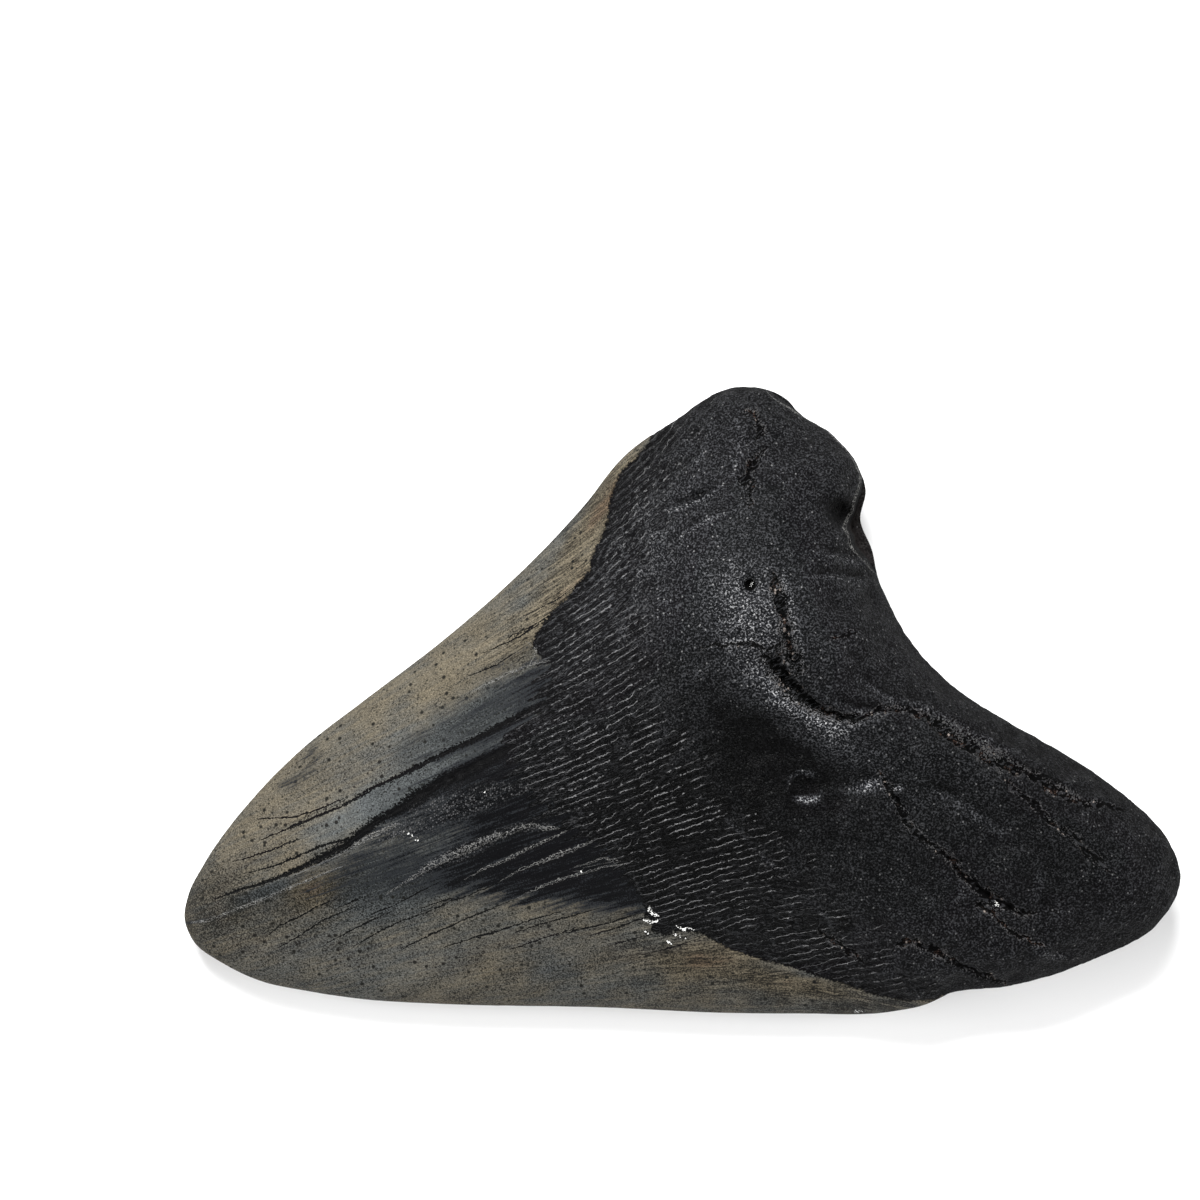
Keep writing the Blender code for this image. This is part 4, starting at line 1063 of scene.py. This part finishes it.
def rise(value, low, high, bottom=0.0, top=1.0):
    # smooth step of value from low to high
    span = {"Value": value, "From Min": low, "From Max": high, "To Min": bottom, "To Max": top}
    return put("MapRange", span, interpolation_type="SMOOTHSTEP").outputs["Result"]


def threads(wave, width):
    # thin lines where the wave crosses its middle
    return rise(absolute(sway(wave, 1.0)), width, 0.15 * width)


def dots(name, radius, share):
    # round dots on a share of the scattered points
    distance, lot = grains[name]
    return times(rise(distance, radius, 0.5 * radius), rise(lot, 1.0 - share, 1.05 - share))


def colour(name):
    return (*finish[name], 1.0)


def blend(share, a, b, way="MIX"):
    return put("Mix", {0: share, 6: a, 7: b}, data_type="RGBA", blend_type=way).outputs[2]


def paint(skin, name, *shares):
    # the named colour over the skin, by the product of the shares
    return blend(times(*shares), skin, colour(name))


def lit(skin, level):
    # the skin times a grey of the level
    return blend(1.0, skin, put("CombineColor", {0: level, 1: level, 2: level}).outputs[0], "MULTIPLY")


def makeWaves():
    # noises of the object's space or of the fibres' stretched one; scattered points as the distance
    # to the nearest and a random share of each
    place = put("TexCoord").outputs["Object"]
    fibre = put("UVMap", uv_map="fibres").outputs[0]
    for name, (scale, detail, roughness) in noises.items():
        if isinstance(scale, tuple):
            space = put("Mapping", {"Vector": fibre, "Scale": (*scale, 1.0)}).outputs[0]
            scale = 1.0
        else:
            space = place
        waves[name] = put("TexNoise", {"Vector": space, "Scale": scale, "Detail": detail,
                                       "Roughness": roughness}).outputs[0]
    for name, scale in scatters.items():
        node = put("TexVoronoi", {"Vector": place, "Scale": scale, "Randomness": 1.0})
        lot = put("SeparateColor", {0: node.outputs["Color"]}).outputs[0]
        grains[name] = (node.outputs["Distance"], lot)


def enamelColour(onLines):
    # tan to grey by warmth, times light; then specks, fibres, stain and dark runs
    warmth = stirred("warmth", patch=1.8, streak=1.4, mottle=0.8)
    skin = paint(colour("grey"), "tan", rise(warmth, -1.0, 0.8))
    skin = paint(skin, "rust", rise(warmth, 0.8, 1.9, 0.0, 0.8))
    light = stirred(1.0, "light", times("band", 0.05), streak=0.8, mottle=0.6, grain=2.2, leather=1.1)
    nearBorder = rise("enamel", 11.0, 2.0)
    light = plus(light, times(nearBorder, sway("hair", 1.6)))
    skin = lit(skin, reckon("MAXIMUM", light, 0.15))
    skin = paint(skin, "speck", dots("pepper", 0.36, 0.34), 0.75)
    skin = paint(skin, "speck", dots("specks", 0.25, 0.62), 0.95)
    fibreLines = times(threads("hair", 0.055), rise("mottle", 0.38, 0.54), nearBorder)
    skin = paint(skin, "split", fibreLines, 0.85)
    soaked = stirred("stain", streak=1.3, hair=0.9, grain=0.9)
    some = rise("stain", 0.0, 0.08)
    skin = paint(skin, "stainBlue", some, rise(soaked, 0.05, 0.60))
    skin = paint(skin, "stainBlack", some, rise(soaked, 0.50, 0.95))
    return paint(skin, "split", onLines)


def darkColour(onRoot):
    # dentine with a painted highlight line where a fold falls away and a painted shade line where it rises,
    # and wrinkle crests painted lighter as highlight;
    # root lighter where worn, with painted glints on its grains, and steep sides painted darker as shade
    wrinkle = stirred("wrinkle", ripple=1.2, leather=1.8)
    # wrinkle crests painted lighter as highlight
    dentine = paint(colour("dentine"), "wrinkleHighlight", rise(wrinkle, 0.0, 1.0))
    patchy = rise(stirred("mottle", leather=0.8), 0.24, 0.48)
    dentine = paint(dentine, "rootWornAndGlint", threads("skein", 0.055), patchy, 0.45)
    offLine = absolute(stirred("fold", leather=0.38, grain=0.2))
    # painted shade on the side where a fold rises
    dentine = paint(dentine, "dentine", rise(offLine, 0.28, 0.08), rise("foldFall", -0.2, -0.8), 0.85)
    # painted highlight where a fold falls away
    foldHighlightLine = times(rise(offLine, 0.115, 0.02), rise("foldFall", 0.30, 0.85), patchy,
                      rise("rasp", 0.30, 0.55, 0.60, 1.0), rise("enamel", -4.0, 0.0, 1.0, 0.30))
    worn = plus(stirred(patch=0.25, leather=2.4, mottle=0.15), 0.34)
    root = paint(colour("root"), "rootWornAndGlint", rise(worn, 0.0, 1.0, 0.0, 0.33))
    root = paint(root, "rootWornAndGlint", threads("hide", 0.06), rise(worn, 0.10, 0.65))
    # sparse bright spots: painted glints of the grain
    root = paint(root, "rootWornAndGlint", rise("leather", 0.57, 0.66, 0.0, 0.38))
    # painted glints along the threads where the root's painted light is strong
    root = paint(root, "rootGlint", threads("hide", 0.055), rise("rootLight", 0.3, 1.4),
                 rise("leather", 0.46, 0.58), 0.5)
    # scattered painted glints
    root = paint(root, "rootGlint", dots("glints", 0.20, 0.40), 0.8)
    # painted shade: steep sides darker, on top of the root's painted light
    level = reckon("MAXIMUM", plus("rootLight", times("steep", -0.7), 1.0), 0.12)
    dentine = paint(lit(dentine, level), "foldHighlight", foldHighlightLine)
    skin = blend(onRoot, dentine, lit(root, level))
    return paint(skin, "wall", rise("wall", 0.35, 0.8), rise("leather", 0.30, 0.60, 0.35, 0.85))


def paintCrumbs(skin):
    # light faces on the crumbly runs
    distance, lot = grains["crumbs"]
    crumb = rise(stirred("crumb", mottle=0.8), 0.25, 0.75)
    return paint(skin, "crumbLight", rise(lot, 0.35, 1.0), rise(distance, 0.60, 0.25), crumb, 0.75)


def paintRidges(skin):
    # ridges and the lip: a painted highlight rim and scattered painted light within it, both broken up,
    # none down the wall
    edge = plus(stirred(absolute("paintedHighlight"), leather=2.4, grain=1.2), 0.15)
    rim = times(rise(edge, 1.05, 0.85), rise(edge, 0.45, 0.75))
    inside = times(rise(edge, 0.90, 0.60), rise("leather", 0.56, 0.64), 0.5)
    broken = rise(stirred("grain", mottle=0.6), 0.30, 0.46)
    return paint(skin, "highlightGrey", reckon("MAXIMUM", rim, inside), rise("paintedHighlightNear", 0.35, 0.75),
                 rise("wall", 0.12, 0.03), broken, 0.85)


def paintCracks(skin, edge, nearCrack, inCrack):
    # a broken painted highlight along each crack's lip, and dirt, painted glints and strands in it
    patches = rise(stirred("mottle", leather=1.4), 0.50, 0.66)
    skin = paint(skin, "crackLipHighlight", rise(edge, 1.00, 1.15), rise(edge, 1.7, 1.25), nearCrack, patches, 0.7)
    inside = paint(colour("crackDark"), "crackDirt", rise("mottle", 0.55, 0.62),
                   rise("leather", 0.50, 0.60), 0.75)
    # painted glints in the crack
    inside = paint(inside, "crackGlint", dots("pepper", 0.40, 0.20), rise("mottle", 0.46, 0.56))
    inside = paint(inside, "rootWornAndGlint", rise("rasp", 0.56, 0.64), 0.5)
    return blend(inCrack, skin, inside)


def fineRelief(onEnamel, onRoot, onLines):
    # millimetres: grains everywhere, wrinkles on the dentine, hairlines on the enamel
    offEnamel = reckon("SUBTRACT", 1.0, onEnamel)
    onDentine = times(offEnamel, reckon("SUBTRACT", 1.0, onRoot))
    rootPart = plus(times("leather", 0.16), times(threads("hide", 0.12), 0.05), times("mottle", 0.10))
    dentinePart = plus(times("ripple", 0.20), times(threads("skein", 0.12), 0.05))
    enamelPart = plus(times("grain", 0.05), times("hair", rise("enamel", 11.0, 2.0, 0.02, 0.14)),
                      times(onLines, -0.08), 0.10)
    return plus(times(rootPart, offEnamel), times(dentinePart, onDentine), times(enamelPart, onEnamel),
                times(grains["crumbs"][0], "crumb", 0.20))


def finishTooth():
    makeWaves()
    border = stirred("enamel", mottle=0.5, leather=0.5)
    onEnamel = rise(border, -0.06, 0.08)
    onRoot = rise(stirred("neck", mottle=7.0), -2.0, 6.0)
    darkEdge = plus(absolute("dark"), stirred(hair=1.6, leather=2.4, grain=1.4))
    onLines = times(rise(darkEdge, 1.35, 0.75), rise("darkNear", 0.35, 0.75))
    crackEdge = stirred(absolute("crack"), leather=2.2, mottle=1.6, grain=1.2)
    nearCrack = rise("crackNear", 0.35, 0.75)
    inCrack = times(rise(crackEdge, 1.05, 0.90), nearCrack)

    skin = blend(onEnamel, darkColour(onRoot), enamelColour(onLines))
    skin = paint(skin, "crackDark", rise(border, -0.30, -0.02), rise(border, 0.22, 0.02), 0.55)
    skin = paintRidges(paintCrumbs(skin))
    skin = paintCracks(skin, crackEdge, nearCrack, inCrack)
    # painted shade inside the foramen
    skin = paint(skin, "crackDark", rise(stirred("hole", leather=0.25), -0.04, 0.10))
    # white breaks, and the painted glint in the pore
    chipAndPoreGlint = rise(stirred("chipAndPoreGlint", leather=1.6, grain=1.6), 0.60, 0.68)
    skin = paint(skin, "chipAndPoreGlint", chipAndPoreGlint, rise("chipAndPoreGlint", 0.15, 0.35))

    rootRough = finish["rootRoughness"]
    rough = plus(stirred(rootRough, grain=0.25), times(onEnamel, finish["enamelRoughness"] - rootRough),
                 times(inCrack, finish["crackRoughness"] - rootRough), times("steep", 0.6))
    rough = reckon("MINIMUM", reckon("MAXIMUM", rough, 0.2), 0.9)
    bump = put("Bump", {"Strength": 1.0, "Distance": mm, "Height": fineRelief(onEnamel, onRoot, onLines)})
    shader = put("BsdfPrincipled", {"Base Color": skin, "Roughness": rough, "Normal": bump.outputs[0]})
    shader.inputs["Metallic"].default_value = 0.0
    shader.inputs["IOR"].default_value = 1.5
    shader.inputs["Specular IOR Level"].default_value = finish["specular"]
    tree.links.new(shader.outputs[0], put("OutputMaterial").inputs[0])


# floor, lights as place, size and power, and the camera's view of the plane at viewPlane
stage = {
    "floorHalf": 4.0, "floorColour": (0.92, 0.92, 0.92, 1.0), "world": 0.20, "aim": (0.0, -0.01, 0.01),
    "lights": {"key": ((-0.12, 0.56, 0.62), (0.45, 0.30), 14.0),
               "left": ((-0.75, -0.10, 0.45), (0.6, 0.5), 4.8),
               "right": ((0.75, -0.10, 0.45), (0.6, 0.5), 4.8),
               "front": ((0.0, -0.75, 0.45), (0.8, 0.4), 4.0)},
    "viewCentre": (-0.0120, 0.0149), "viewWidth": 0.177, "viewPlane": 0.006, "lens": 180.0,
    "sensor": 36.0,
}


def softLight(name, place, size, power):
    lamp = bpy.data.lights.new(name, "AREA")
    lamp.shape = "RECTANGLE"
    lamp.size, lamp.size_y = size
    lamp.energy = power
    holder = bpy.data.objects.new(name, lamp)
    holder.location = place
    holder.rotation_euler = (Vector(stage["aim"]) - Vector(place)).to_track_quat("-Z", "Y").to_euler()
    bpy.context.scene.collection.objects.link(holder)


def makeStage():
    half = stage["floorHalf"]
    mesh = bpy.data.meshes.new("floor")
    mesh.from_pydata([(-half, -half, 0), (half, -half, 0), (half, half, 0), (-half, half, 0)], [],
                     [(0, 1, 2, 3)])
    floor = bpy.data.objects.new("floor", mesh)
    paper = bpy.data.materials.new("paleFloor")
    paper.use_nodes = True
    shader = paper.node_tree.nodes["Principled BSDF"]
    shader.inputs["Base Color"].default_value = stage["floorColour"]
    shader.inputs["Roughness"].default_value = 0.9
    mesh.materials.append(paper)
    bpy.context.scene.collection.objects.link(floor)
    world = bpy.data.worlds.new("studio")
    world.use_nodes = True
    world.node_tree.nodes["Background"].inputs[0].default_value = (1.0, 1.0, 1.0, 1.0)
    world.node_tree.nodes["Background"].inputs[1].default_value = stage["world"]
    bpy.context.scene.world = world
    for name, (place, size, power) in stage["lights"].items():
        softLight(name, place, size, power)
    bpy.context.scene.view_settings.view_transform = "Standard"
    print("tooth: stage set")


def makeCamera():
    # straight down; the lens and height make the view plane's width fill the frame
    lens = bpy.data.cameras.new("camera")
    lens.lens = stage["lens"]
    lens.sensor_width = stage["sensor"]
    lens.clip_start = 0.01
    camera = bpy.data.objects.new("camera", lens)
    height = stage["viewPlane"] + stage["viewWidth"] * stage["lens"] / stage["sensor"]
    camera.location = (*stage["viewCentre"], height)
    bpy.context.scene.collection.objects.link(camera)
    bpy.context.scene.camera = camera


makeCamera()
tooth = buildTooth()
finishTooth()
tooth.data.materials.append(material)
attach(tooth, "root")
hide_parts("tooth")
makeStage()
